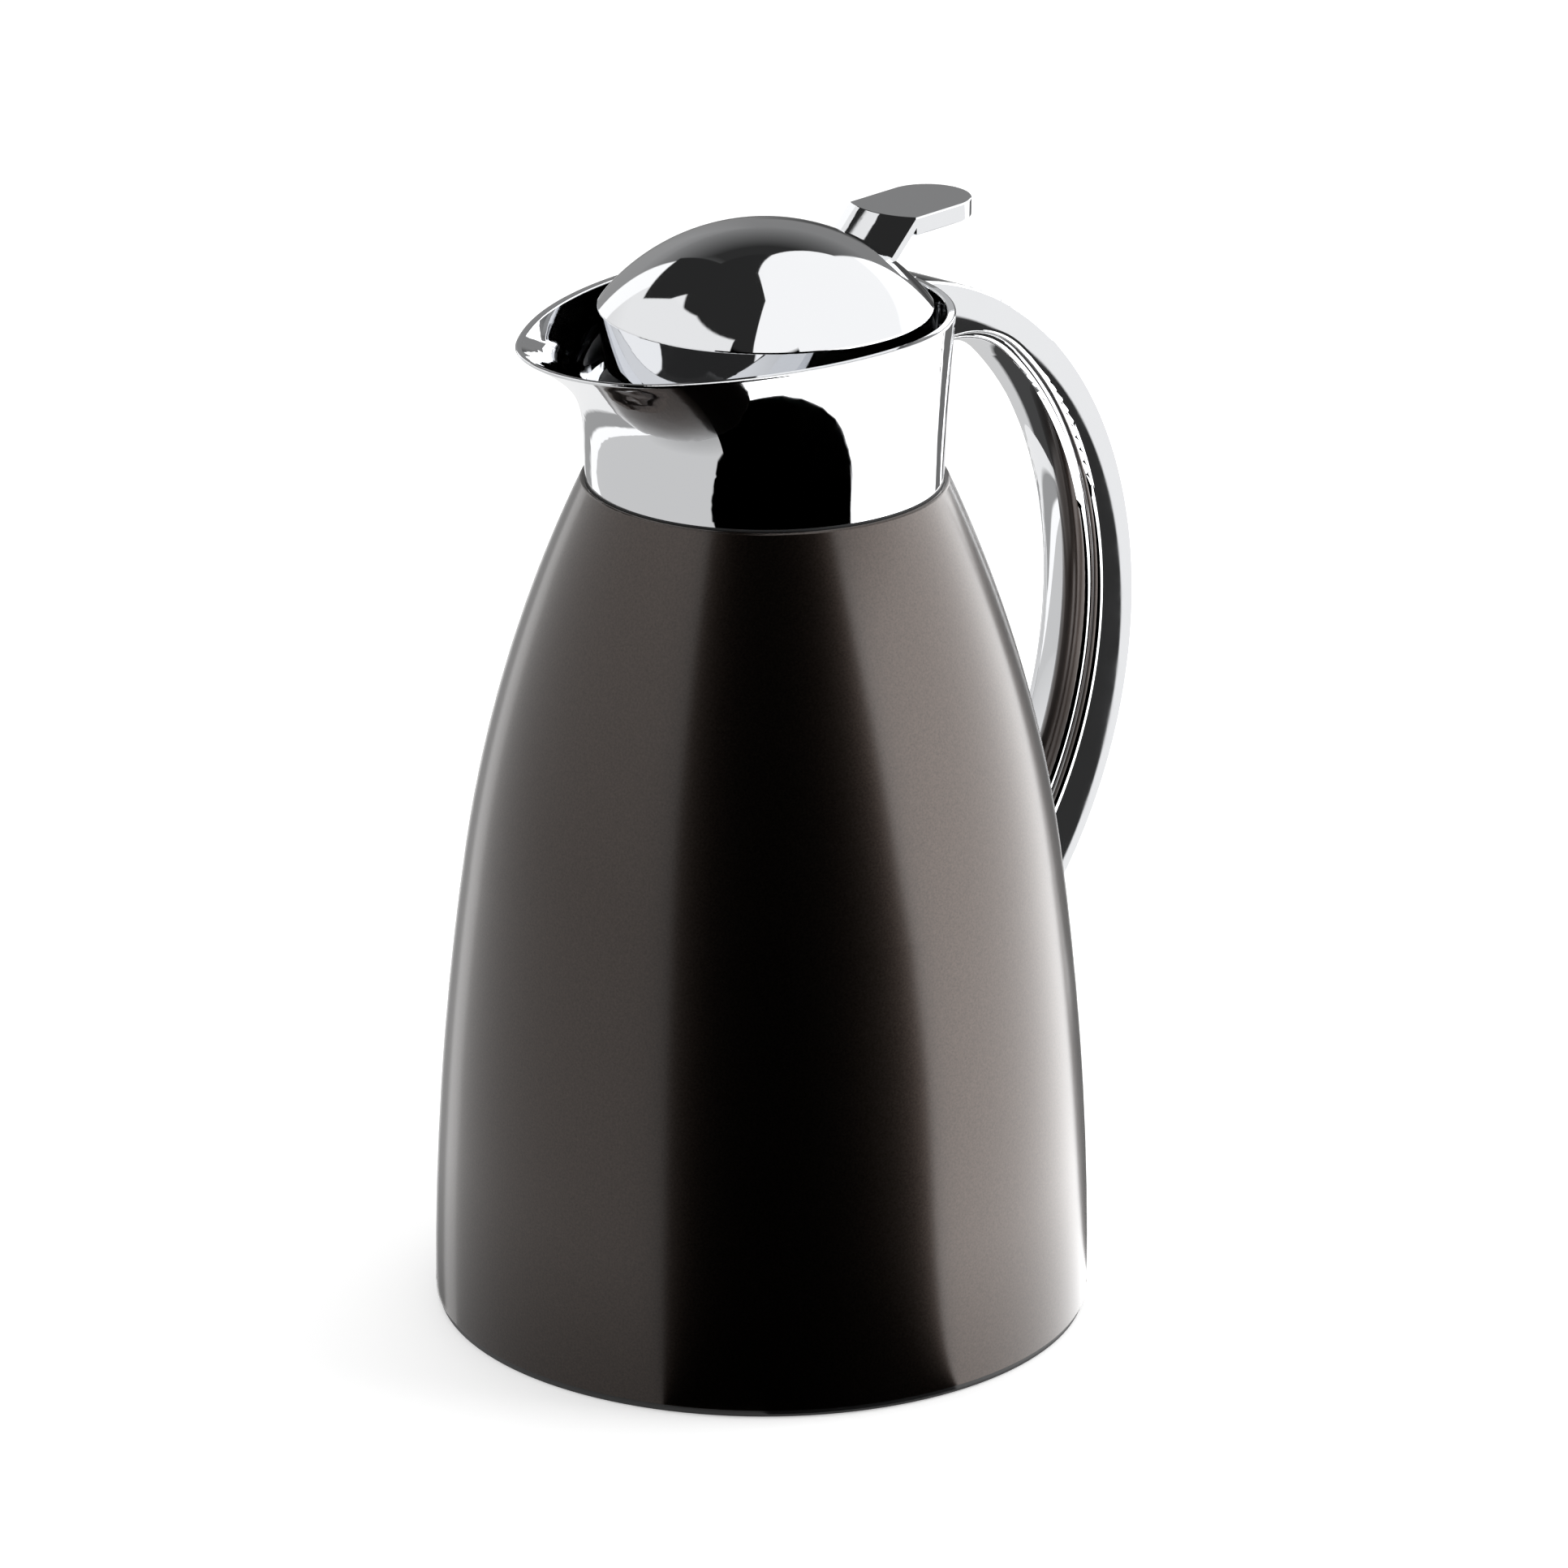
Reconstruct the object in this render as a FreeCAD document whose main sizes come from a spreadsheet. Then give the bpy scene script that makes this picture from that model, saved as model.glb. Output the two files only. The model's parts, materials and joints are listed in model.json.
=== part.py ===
"""Coffee carafe: a bullet-shaped double-wall flask housing with a spouted collar, a two-part handle
and a lid that a thumb lever tips open. Millimetres, Z up, foot on Z = 0, handle at +X, spout at -X."""

import FreeCAD
import Part
import Sketcher
import math
import os

SIZES = {
    # shell
    "base_radius": 70.0,
    "waist_ratio": 0.9,
    "waist_height_ratio": 0.547,
    "neck_radius": 38.4,
    "neck_round": 0.6,
    "shell_height": 182.8,
    "shell_wall": 0.8,
    "flange_width": 5.4,
    "shell_lift": 1.6,
    # foot and base
    "foot_inset": 0.6,
    "foot_line": 0.15,
    "foot_width": 10.0,
    "foot_height": 3.4,
    "thread_width": 12.0,
    "thread_height": 11.0,
    "thread_play": 0.15,
    "plate_short": 1.0,
    "grip_hole_radius": 10.0,
    "grip_hole_spread": 30.0,
    "grip_hole_depth": 1.4,
    "plate_wall": 3.0,
    "cushion_radius": 30.0,
    "cushion_lip": 5.5,
    # flask
    "flask_room": 3.5,
    "flask_bottom": 12.0,
    "flask_crown": 95.0,
    "flask_corner": 28.0,
    "flask_shoulder_ratio": 0.47,
    "flask_neck_drop": 6.8,
    "flask_lip_rise": 11.2,
    "lip_thickness": 2.0,
    "mouth_inset": 12.0,
    "glass_wall": 1.8,
    "vacuum_gap": 4.2,
    "neck_gap": 0.9,
    "nib_radius": 3.0,
    "nib_length": 5.0,
    "spacer_height": 8.0,
    "spacer_level_ratio": 0.36,
    "spacer_angle": 9.0,
    "gasket_thickness": 1.5,
    # neck fittings
    "seat_gap": 0.03,
    "sleeve_wall": 2.4,
    "sleeve_drop": 8.0,
    "ledge_height": 4.7,
    "ledge_width": 1.6,
    "neck_play": 0.2,
    "funnel_start": 1.1,
    "nut_height": 6.0,
    "nut_wall": 4.0,
    "seal_line": 0.5,
    # collar and spout
    "collar_inset": 1.0,
    "collar_height": 35.7,
    "collar_wall": 1.9,
    "rim_flare": 2.0,
    "rim_round": 0.4,
    "floor_rise": 19.7,
    "spout_length": 24.2,
    "spout_nose": 27.9,
    "spout_rise": 8.7,
    "rear_curve": 1.4,
    "spout_curve": 2.2,
    "hollow_curve": 2.5,
    # hinge
    "hinge_inset": 4.6,
    "hinge_drop": 2.2,
    "knuckle_radius": 2.3,
    "knuckle_width": 10.0,
    "lug_width": 2.6,
    "side_play": 0.3,
    "pin_radius": 1.0,
    "pin_play": 0.04,
    "pin_length": 5.0,
    # lid
    "lid_gap": 2.6,
    "lid_lift": 1.0,
    "lid_edge_round": 0.5,
    "dome_rise": 17.1,
    "dome_wall": 1.8,
    "skirt_depth": 12.0,
    "skirt_taper": 1.4,
    "notch_depth": 3.6,
    "notch_width": 18.0,
    "lid_floor": 3.0,
    "plug_margin": 6.9,
    "plug_flange": 5.0,
    "plug_stem": 1.5,
    "plug_room": 0.8,
    "plug_taper": 3.2,
    "plug_length": 18.0,
    "plug_wall": 1.8,
    "seal_width": 5.0,
    "seal_play": 0.35,
    # lever
    "lever_rise": 12.4,
    "lever_thickness": 4.0,
    "lever_half_width": 9.2,
    "lever_inset": 0.8,
    "lever_front_radius": 16.0,
    "lever_length": 26.3,
    "lever_stem": 5.4,
    "lever_round": 0.35,
    "lever_angle": 42.0,
    "lever_screw_spread": 5.0,
    # handle
    "handle_reach": 112.5,
    "handle_drop": 1.1,
    "handle_bend_radius": 90.0,
    "handle_bite": 8.7,
    "handle_width": 16.6,
    "handle_round": 0.8,
    "ledge_round": 1.5,
    "spine_depth": 14.8,
    "root_depth": 19.0,
    "grip_bend_step": 11.4,
    "grip_lift": 4.2,
    "grip_shoulder_radius": 28.3,
    "grip_depth": 2.7,
    "grip_width": 12.2,
    "grip_round": 1.6,
    # screws
    "screw_radius": 1.5,
    "screw_head_radius": 2.8,
    "screw_head": 1.6,
    "screw_play": 0.05,
    "top_screw_drop": 10.0,
    "top_screw_length": 16.0,
    "low_screw_drop": 2.0,
    "low_screw_length": 12.0,
    "backing_thickness": 1.5,
    "backing_height": 14.0,
    "backing_angle": 20.0,
    "small_screw_radius": 1.0,
    "small_head_radius": 1.9,
    "small_head": 1.5,
    "lid_screw_inset": 2.3,
    "lid_screw_bite": 3.6,
    "lever_screw_bite": 5.0,
    # how far a cut runs past what it cuts
    "cut_over": 1.0,
}

doc = FreeCAD.newDocument("carafe")
sheet = doc.addObject("Spreadsheet::Sheet", "dims")


class Size:
    """A length that knows its value and the expression that gives it from the sheet."""

    def __init__(self, value, text):
        self.value = float(value)
        self.text = text

    def joined(self, other, sign, value):
        other = size(other)
        return Size(value(self.value, other.value), "(" + self.text + sign + other.text + ")")

    def __add__(self, other):
        return self.joined(other, " + ", lambda a, b: a + b)

    def __sub__(self, other):
        return self.joined(other, " - ", lambda a, b: a - b)

    def __mul__(self, other):
        return self.joined(other, " * ", lambda a, b: a * b)

    def __truediv__(self, other):
        return self.joined(other, " / ", lambda a, b: a / b)

    def __radd__(self, other):
        return size(other) + self

    def __rsub__(self, other):
        return size(other) - self

    def __rmul__(self, other):
        return size(other) * self

    def __neg__(self):
        return size(-1) * self


class Sheet:
    """The named sizes, each as a Size bound to its cell."""

    def __getattr__(self, name):
        return Size(SIZES[name], "dims." + name)


def size(value):
    return value if isinstance(value, Size) else Size(value, "(" + repr(float(value)) + ")")


def root(inner):
    return Size(math.sqrt(inner.value), "sqrt(" + inner.text + ")")


def power(base, exponent):
    return Size(base.value ** exponent.value, "(" + base.text + " ^ " + exponent.text + ")")


def cosine(angle):
    return Size(math.cos(math.radians(angle.value)), "cos(" + angle.text + " * 1 deg)")


def sine(angle):
    return Size(math.sin(math.radians(angle.value)), "sin(" + angle.text + " * 1 deg)")


for row, (name, number) in enumerate(SIZES.items(), 1):
    sheet.set("A%d" % row, name)
    sheet.set("B%d" % row, str(number))
    sheet.setAlias("B%d" % row, name)
doc.recompute()
d = Sheet()

# Radii and levels that follow from the sizes

waist_radius = d.base_radius * d.waist_ratio
waist_height = d.shell_height * d.waist_height_ratio
flange_radius = d.neck_radius - d.flange_width
flange_under = d.shell_height - d.shell_wall
foot_inner = d.base_radius - d.foot_width
thread_radius = d.base_radius - d.thread_width
flask_radius = waist_radius - d.flask_room
flask_shoulder = d.shell_height * d.flask_shoulder_ratio
flask_neck_start = d.shell_height - d.flask_neck_drop
flask_lip = d.shell_height + d.flask_lip_rise
mouth_radius = flange_radius - d.mouth_inset
flask_neck_radius = mouth_radius + 2 * d.glass_wall + d.neck_gap
collar_radius = d.neck_radius - d.collar_inset
collar_foot = d.shell_height + d.seal_line
rim_radius = collar_radius + d.rim_flare
rim_height = collar_foot + d.collar_height
floor_height = collar_foot + d.floor_rise
spout_reach = rim_radius + d.spout_length
spout_start = collar_foot + d.spout_rise
hinge_x = rim_radius - d.hinge_inset
hinge_z = rim_height - d.hinge_drop
lid_radius = rim_radius - d.collar_wall - d.lid_gap
lid_edge = rim_height + d.lid_lift
skirt_foot = lid_edge - d.skirt_depth
notch_x = hinge_x - d.notch_depth
plug_radius = mouth_radius - d.plug_room
plug_stem_radius = mouth_radius + d.plug_stem
plug_top_radius = lid_radius - d.plug_margin
plug_tip = skirt_foot - d.plug_length
plug_tip_radius = plug_radius - d.plug_taper
lid_screw_circle = mouth_radius + d.lid_screw_inset
lever_front = lid_radius - d.lever_inset
lever_end = lever_front + d.lever_length
lever_top = lid_edge + d.lever_rise
top_screw_level = rim_height - d.top_screw_drop


# Helpers for sketches and features


def bind(thing, prop, length):
    """Sets a property to a size and ties it to the sheet."""
    thing.setExpression(prop, length.text)


def origin_part(body, role):
    return [f for f in body.Origin.OriginFeatures if f.Role == role][0]


def new_body(label):
    body = doc.addObject("PartDesign::Body", label)
    body.Label = label
    return body


def new_sketch(body, name, plane="XZ_Plane", offset=None):
    sketch = body.newObject("Sketcher::SketchObject", name)
    sketch.AttachmentSupport = [(origin_part(body, plane), "")]
    sketch.MapMode = "FlatFace"
    if offset is not None:
        sketch.AttachmentOffset = FreeCAD.Placement(FreeCAD.Vector(0, 0, offset.value), FreeCAD.Rotation())
        bind(sketch, "AttachmentOffset.Base.z", offset)
    return sketch


def arc_between(a, b, radius, turn):
    """The shorter arc from a to b, centre on the left for turn = 1 and on the right for turn = -1."""
    chord = b - a
    side = FreeCAD.Vector(-chord.y, chord.x, 0).normalize()
    rise = math.sqrt(max(radius * radius - chord.Length ** 2 / 4, 0.0))
    centre = (a + b) * 0.5 + side * (rise * turn)
    first, last = (a, b) if turn > 0 else (b, a)
    start = math.atan2(first.y - centre.y, first.x - centre.x)
    end = math.atan2(last.y - centre.y, last.x - centre.x)
    circle = Part.Circle(centre, FreeCAD.Vector(0, 0, 1), radius)
    return Part.ArcOfCircle(circle, start, end if end > start else end + 2 * math.pi)


def fix_point(sketch, geometry, vertex, x, y):
    for kind, length in (("DistanceX", size(x)), ("DistanceY", size(y))):
        number = sketch.addConstraint(Sketcher.Constraint(kind, -1, 1, geometry, vertex, length.value))
        bind(sketch, "Constraints[%d]" % number, length)


def outline(sketch, corners, closed=True):
    """Outline or open line. A corner is (x, y), or (x, y, radius, turn) when the edge that leaves it is an arc."""
    points = [FreeCAD.Vector(size(c[0]).value, size(c[1]).value, 0) for c in corners]
    ends = []
    for i, corner in enumerate(corners if closed else corners[:-1]):
        a, b = points[i], points[(i + 1) % len(points)]
        if len(corner) == 2:
            ends.append((sketch.addGeometry(Part.LineSegment(a, b), False), 1, 2))
            continue
        radius, turn = size(corner[2]), corner[3]
        number = sketch.addGeometry(arc_between(a, b, radius.value, turn), False)
        ends.append((number, 1, 2) if turn > 0 else (number, 2, 1))
    followers = ends[1:] + ends[:1] if closed else ends[1:]
    for (number, first, last), following in zip(ends, followers):
        sketch.addConstraint(Sketcher.Constraint("Coincident", number, last, following[0], following[1]))
    if not closed:
        fix_point(sketch, ends[-1][0], ends[-1][2], corners[-1][0], corners[-1][1])
    for (number, first, last), corner in zip(ends, corners):
        fix_point(sketch, number, first, corner[0], corner[1])
        if len(corner) == 4:
            made = sketch.addConstraint(Sketcher.Constraint("Radius", number, size(corner[2]).value))
            bind(sketch, "Constraints[%d]" % made, size(corner[2]))
    return sketch


def ring_outline(sketch, x, y, radius):
    centre = FreeCAD.Vector(x.value, y.value, 0)
    number = sketch.addGeometry(Part.Circle(centre, FreeCAD.Vector(0, 0, 1), radius.value))
    fix_point(sketch, number, 3, x, y)
    made = sketch.addConstraint(Sketcher.Constraint("Radius", number, radius.value))
    bind(sketch, "Constraints[%d]" % made, radius)
    return sketch


def axis_line(sketch, start, end):
    points = [FreeCAD.Vector(size(p[0]).value, size(p[1]).value, 0) for p in (start, end)]
    number = sketch.addGeometry(Part.LineSegment(*points), True)
    fix_point(sketch, number, 1, *start)
    fix_point(sketch, number, 2, *end)


def feature(body, kind, name, profile):
    made = body.newObject("PartDesign::" + kind, name)
    made.Profile = profile
    profile.Visibility = False
    return made


def turned(body, name, corners, kind="Revolution", angle=None):
    """Turns an outline of (radius, height) corners about the upright axis."""
    profile = outline(new_sketch(body, name + "_profile"), corners)
    made = feature(body, kind, name, profile)
    made.ReferenceAxis = (profile, ["V_Axis"])
    made.Angle = 360.0
    if angle is not None:
        made.Midplane = True
        bind(made, "Angle", angle)
    return made


def turned_about(body, name, start, end, corners, kind="Revolution", offset=None):
    """Turns an outline about a line of its own sketch."""
    profile = new_sketch(body, name + "_profile", offset=offset)
    outline(profile, corners)
    axis_line(profile, start, end)
    made = feature(body, kind, name, profile)
    made.ReferenceAxis = (profile, ["Axis0"])
    made.Angle = 360.0
    return made


def across(body, name, profile, width, kind="Pad"):
    """Pads or cuts a profile of the mirror plane to both sides."""
    made = feature(body, kind, name, profile)
    made.Midplane = True
    made.Length = width.value
    bind(made, "Length", width)
    return made


def rounded(body, name, base, edges, radius):
    made = body.newObject("PartDesign::Fillet", name)
    made.Base = (base, edges)
    made.Radius = radius.value
    bind(made, "Radius", radius)
    return made


def edges_at(base, level, least=0.0):
    """Names of the edges that lie flat at a level and reach at least that far from the upright axis."""
    doc.recompute()
    names = []
    for number, edge in enumerate(base.Shape.Edges, 1):
        box = edge.BoundBox
        flat = max(abs(box.ZMin - level.value), abs(box.ZMax - level.value)) < 0.001
        reach = max(math.hypot(v.X, v.Y) for v in edge.Vertexes)
        if flat and reach > float(getattr(least, "value", least)) - 0.001:
            names.append("Edge%d" % number)
    return names


def compound(label, pieces):
    made = doc.addObject("Part::Compound", label)
    made.Label = label
    made.Links = pieces
    return made


def along(start, lean, points):
    """Corners given as (way along, way across) from a start, the way along leaning down from the axis."""
    x, z = start
    c, s = lean
    return [(x - c * a + s * b, z - s * a - c * b) for a, b in points]


# Shell


def bend_from_upright(inner, outer, rise):
    """Radius of the arc that leaves an upright line at the outer radius and meets the inner one."""
    step = outer - inner
    return (step * step + rise * rise) / (2 * step)


def shell_side(inset, foot, top_radius, top):
    """Foot, waist and top of the shell's side with the radii of its two tangent arcs."""
    low = d.base_radius - inset
    mid = waist_radius - inset
    rise = waist_height - foot
    low_arc = bend_from_upright(mid, low, rise)
    step = mid - top_radius
    climb = top - waist_height
    lean = step * (low_arc - (low - mid)) - climb * rise
    high_arc = (step * step + climb * climb) * low_arc / (2 * lean)
    return (low, foot), (mid, waist_height), (top_radius, top), low_arc, high_arc


def shell_radius(inset, level):
    """Radius of the shell's side at a level below the waist."""
    low, mid, top, low_arc, high_arc = shell_side(inset, d.shell_lift, d.neck_radius, d.shell_height)
    rise = level - d.shell_lift
    return low[0] - low_arc + root(low_arc * low_arc - rise * rise)


shell = new_body("body_shell")
low, mid, top, low_arc, high_arc = shell_side(size(0), d.shell_lift, d.neck_radius, d.shell_height)
low_in, mid_in, top_in, low_arc_in, high_arc_in = shell_side(
    d.shell_wall, d.shell_lift, d.neck_radius - d.shell_wall * 0.5, flange_under)
shell_turn = turned(shell, "shell_turn", [
    low + (low_arc, 1),
    mid + (high_arc, 1),
    top,
    (flange_radius, d.shell_height),
    (flange_radius, flange_under),
    top_in + (high_arc_in, -1),
    mid_in + (low_arc_in, -1),
    low_in,
])
shoulder_edges = edges_at(shell_turn, d.shell_height, d.neck_radius)
rounded(shell, "shoulder_round", shell_turn, shoulder_edges, d.neck_round)

# Foot and base

foot_outer = d.base_radius - d.foot_inset
foot_top = d.shell_lift - d.foot_line
thread_top = d.foot_height + d.thread_height
inside_shell = d.shell_wall + d.seat_gap
foot = new_body("foot_ring")
turned(foot, "foot_turn", [
    (foot_inner, 0),
    (foot_outer, 0),
    (foot_outer, foot_top),
    (shell_radius(inside_shell, d.foot_height), foot_top),
    (shell_radius(inside_shell, d.foot_height), d.foot_height),
    (foot_inner, d.foot_height),
])

thread_ring = new_body("base_thread_ring")
turned(thread_ring, "thread_ring_turn", [
    (thread_radius, d.foot_height),
    (shell_radius(inside_shell, d.foot_height), d.foot_height),
    (shell_radius(inside_shell, thread_top), thread_top),
    (thread_radius, thread_top),
])

plate = new_body("base_plate")
plate_radius = foot_inner - d.thread_play
screwed = thread_radius - d.thread_play
lip_inner = d.cushion_radius + d.seat_gap
turned(plate, "plate_turn", [
    (0, 0),
    (plate_radius, 0),
    (plate_radius, d.foot_height),
    (screwed, d.foot_height),
    (screwed, thread_top - d.plate_short),
    (screwed - d.plate_wall, thread_top - d.plate_short),
    (screwed - d.plate_wall, d.foot_height),
    (lip_inner + d.plate_wall, d.foot_height),
    (lip_inner + d.plate_wall, d.foot_height + d.cushion_lip),
    (lip_inner, d.foot_height + d.cushion_lip),
    (lip_inner, d.foot_height),
    (0, d.foot_height),
])

grip_holes = new_sketch(plate, "grip_hole_profile", "XY_Plane")
for side in (-1, 1):
    ring_outline(grip_holes, size(0), d.grip_hole_spread * side, d.grip_hole_radius)
grip_cut = feature(plate, "Pocket", "grip_holes", grip_holes)
grip_cut.Reversed = True
bind(grip_cut, "Length", d.grip_hole_depth)

# Flask


def flask_bottom(radius, corner, crown, level):
    """Crown, corner and side of a dished bottom: crown point, tangent point and start of the side."""
    reach = radius - corner
    between = crown - corner
    drop = root(between * between - reach * reach)
    tangent = (crown * reach / between, level + crown - crown * drop / between)
    return tangent, (radius, level + crown - drop)


def dish_level(crown, level, radius):
    return level + crown - root(crown * crown - radius * radius)


inside = d.glass_wall
vacuum = d.glass_wall + d.vacuum_gap
cavity = vacuum + d.glass_wall


def vessel_side(inset, neck):
    """Tangent point, side, shoulder and neck of one glass surface, with the radii of its arcs."""
    radius = flask_radius - inset
    crown = d.flask_crown - inset
    corner = d.flask_corner - inset
    tangent, side = flask_bottom(radius, corner, crown, d.flask_bottom + inset)
    bend = bend_from_upright(neck, radius, flask_neck_start - flask_shoulder)
    return tangent, side, (radius, flask_shoulder), (neck, flask_neck_start), crown, corner, bend


flask_outer = new_body("flask_outer")
tan_a, side_a, sho_a, neck_a, crown_a, corner_a, bend_a = vessel_side(size(0), flask_neck_radius)
tan_b, side_b, sho_b, neck_b, crown_b, corner_b, bend_b = vessel_side(inside, flask_neck_radius - inside)
nib_end = d.flask_bottom - d.nib_length
turned(flask_outer, "flask_outer_turn", [
    (0, nib_end),
    (d.nib_radius, nib_end),
    (d.nib_radius, dish_level(crown_a, d.flask_bottom, d.nib_radius), crown_a, 1),
    tan_a + (corner_a, 1),
    side_a,
    sho_a + (bend_a, 1),
    neck_a,
    (flask_neck_radius, flask_lip),
    (flask_neck_radius - inside, flask_lip),
    neck_b + (bend_b, -1),
    sho_b,
    side_b + (corner_b, -1),
    tan_b + (crown_b, -1),
    (0, d.flask_bottom + inside),
])

flask_inner = new_body("flask_inner")
lip_top = flask_lip + d.lip_thickness
tan_c, side_c, sho_c, neck_c, crown_c, corner_c, bend_c = vessel_side(vacuum, mouth_radius + inside)
tan_d, side_d, sho_d, neck_d, crown_d, corner_d, bend_d = vessel_side(cavity, mouth_radius)
turned(flask_inner, "flask_inner_turn", [
    (0, d.flask_bottom + vacuum, crown_c, 1),
    tan_c + (corner_c, 1),
    side_c,
    sho_c + (bend_c, 1),
    neck_c,
    (mouth_radius + inside, flask_lip),
    (flask_neck_radius, flask_lip),
    (flask_neck_radius, lip_top),
    (mouth_radius, lip_top),
    neck_d + (bend_d, -1),
    sho_d,
    side_d + (corner_d, -1),
    tan_d + (crown_d, -1),
    (0, d.flask_bottom + cavity),
])

spacers = []
spacer_level = d.shell_height * d.spacer_level_ratio
for turn in range(3):
    spacer = new_body("spacer_%d" % (turn + 1))
    pad_in = flask_radius - vacuum + d.seat_gap
    pad_out = flask_radius - inside - d.seat_gap
    turned(spacer, "spacer_turn_%d" % (turn + 1), [
        (pad_in, spacer_level),
        (pad_out, spacer_level),
        (pad_out, spacer_level + d.spacer_height),
        (pad_in, spacer_level + d.spacer_height),
    ], angle=d.spacer_angle)
    spacer.Placement = FreeCAD.Placement(
        FreeCAD.Vector(0, 0, 0), FreeCAD.Rotation(FreeCAD.Vector(0, 0, 1), 120 * turn + 60))
    spacers.append(spacer)
compound("flask_spacers", spacers)

cushion = new_body("flask_cushion")
nib_room = d.nib_radius * 2
turned(cushion, "cushion_turn", [
    (nib_room, d.foot_height),
    (d.cushion_radius, d.foot_height),
    (d.cushion_radius, dish_level(crown_a, d.flask_bottom - d.seat_gap, d.cushion_radius), crown_a, -1),
    (nib_room, dish_level(crown_a, d.flask_bottom - d.seat_gap, nib_room)),
])

gasket = new_body("flask_gasket")
gasket_top = lip_top + d.gasket_thickness
turned(gasket, "gasket_turn", [
    (mouth_radius, lip_top),
    (flask_neck_radius, lip_top),
    (flask_neck_radius, gasket_top),
    (mouth_radius, gasket_top),
])

# Neck fittings

ledge = collar_foot + d.ledge_height
bore = flange_radius + d.ledge_width
sleeve = flange_radius - d.neck_play
sleeve_in = sleeve - d.sleeve_wall
sleeve_end = flange_under - d.sleeve_drop
funnel_low = (mouth_radius, gasket_top + d.funnel_start)
funnel_high = (bore - d.neck_play, floor_height)
pour = new_body("pour_ring")
turned(pour, "pour_turn", [
    (sleeve_in, sleeve_end),
    (sleeve, sleeve_end),
    (sleeve, ledge),
    (bore - d.neck_play, ledge),
    funnel_high,
    funnel_low,
    (mouth_radius, gasket_top),
    (sleeve_in, gasket_top),
])

neck_nut = new_body("neck_nut")
turned(neck_nut, "nut_turn", [
    (sleeve + d.seat_gap, flange_under - d.nut_height),
    (sleeve + d.nut_wall, flange_under - d.nut_height),
    (sleeve + d.nut_wall, flange_under),
    (sleeve + d.seat_gap, flange_under),
])

line_seal = new_body("collar_gasket")
turned(line_seal, "collar_gasket_turn", [
    (flange_radius, d.shell_height),
    (collar_radius, d.shell_height),
    (collar_radius, collar_foot),
    (flange_radius, collar_foot),
])

# Collar with spout: egg sections that swell into the nose, lofted outside and inside


def egg(rear, part, inset):
    """Rear radius and side corner of one section; part is 0 for a round one and 1 for the rim."""
    centre = spout_reach - d.spout_nose
    side = (centre * centre + rim_radius * rim_radius - d.spout_nose * d.spout_nose) \
        / (2 * (rim_radius - d.spout_nose))
    reach = side - d.spout_nose
    corner_x = centre + d.spout_nose * centre / reach
    corner_y = d.spout_nose * (side - rim_radius) / reach
    x = rear * 0.87 * (1 - part) + corner_x * part
    y = rear * 0.5 * (1 - part) + corner_y * part
    drop = rear - y
    bend = (x * x + drop * drop) / (2 * drop)
    low = bend - rear
    along_x = x * (1 - inset / bend)
    along_y = y - inset * (y + low) / bend
    axis = x * low / (y + low)
    nose = root((x - axis) * (x - axis) + y * y) - inset
    return rear - inset, along_x, along_y, bend - inset, nose


def egg_sketch(body, name, level, rear, part, inset):
    """Section at a level: rear half circle, two side arcs and the nose arc."""
    radius, x, y, bend, nose = egg(rear, part, inset)
    return outline(new_sketch(body, name, "XY_Plane", level), [
        (0, -radius, radius, 1),
        (radius, 0, radius, 1),
        (0, radius, bend, 1),
        (-x, y, nose, 1),
        (-x, -y, bend, 1),
    ])


def lofted(body, name, kind, sections):
    made = body.newObject("PartDesign::" + kind, name)
    made.Profile = sections[0]
    made.Sections = sections[1:]
    for section in sections:
        section.Visibility = False
    return made


collar = new_body("collar")
rise = rim_height - collar_foot
swell = rim_radius - collar_radius
flare = rim_height - spout_start


def rear_radius(level):
    return collar_radius + swell * power((level - collar_foot) / rise, d.rear_curve)


def spout_section(name, share, curve, inset):
    """Section at a share of the spout's height; the nose grows with a power of that share."""
    level = spout_start + flare * share
    return egg_sketch(collar, name, level, rear_radius(level), power(share, curve), inset)


foot_section = egg_sketch(collar, "collar_foot_section", collar_foot, collar_radius, size(0), size(0))
lofted(collar, "collar_loft", "AdditiveLoft", [foot_section] + [
    spout_section("collar_section_%d" % i, size(i / 5), d.spout_curve, size(0)) for i in range(6)])
floor_share = (floor_height - spout_start) / flare
turned(collar, "collar_bore", [
    (0, collar_foot - d.cut_over),
    (flange_radius, collar_foot - d.cut_over),
    (flange_radius, ledge),
    (bore, ledge),
    (bore, floor_height + d.seal_line),
    (0, floor_height + d.seal_line),
], "Groove")
hollow_sections = []
for i in range(6):
    share = floor_share + (1 - floor_share) * (i / 4)
    hollow_sections.append(spout_section("hollow_section_%d" % i, share, d.hollow_curve, d.collar_wall))
hollow = lofted(collar, "collar_hollow", "SubtractiveLoft", hollow_sections)
rounded(collar, "rim_rounds", hollow, edges_at(hollow, rim_height), d.rim_round)

# Hinge lugs on the collar's rear wall

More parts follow.
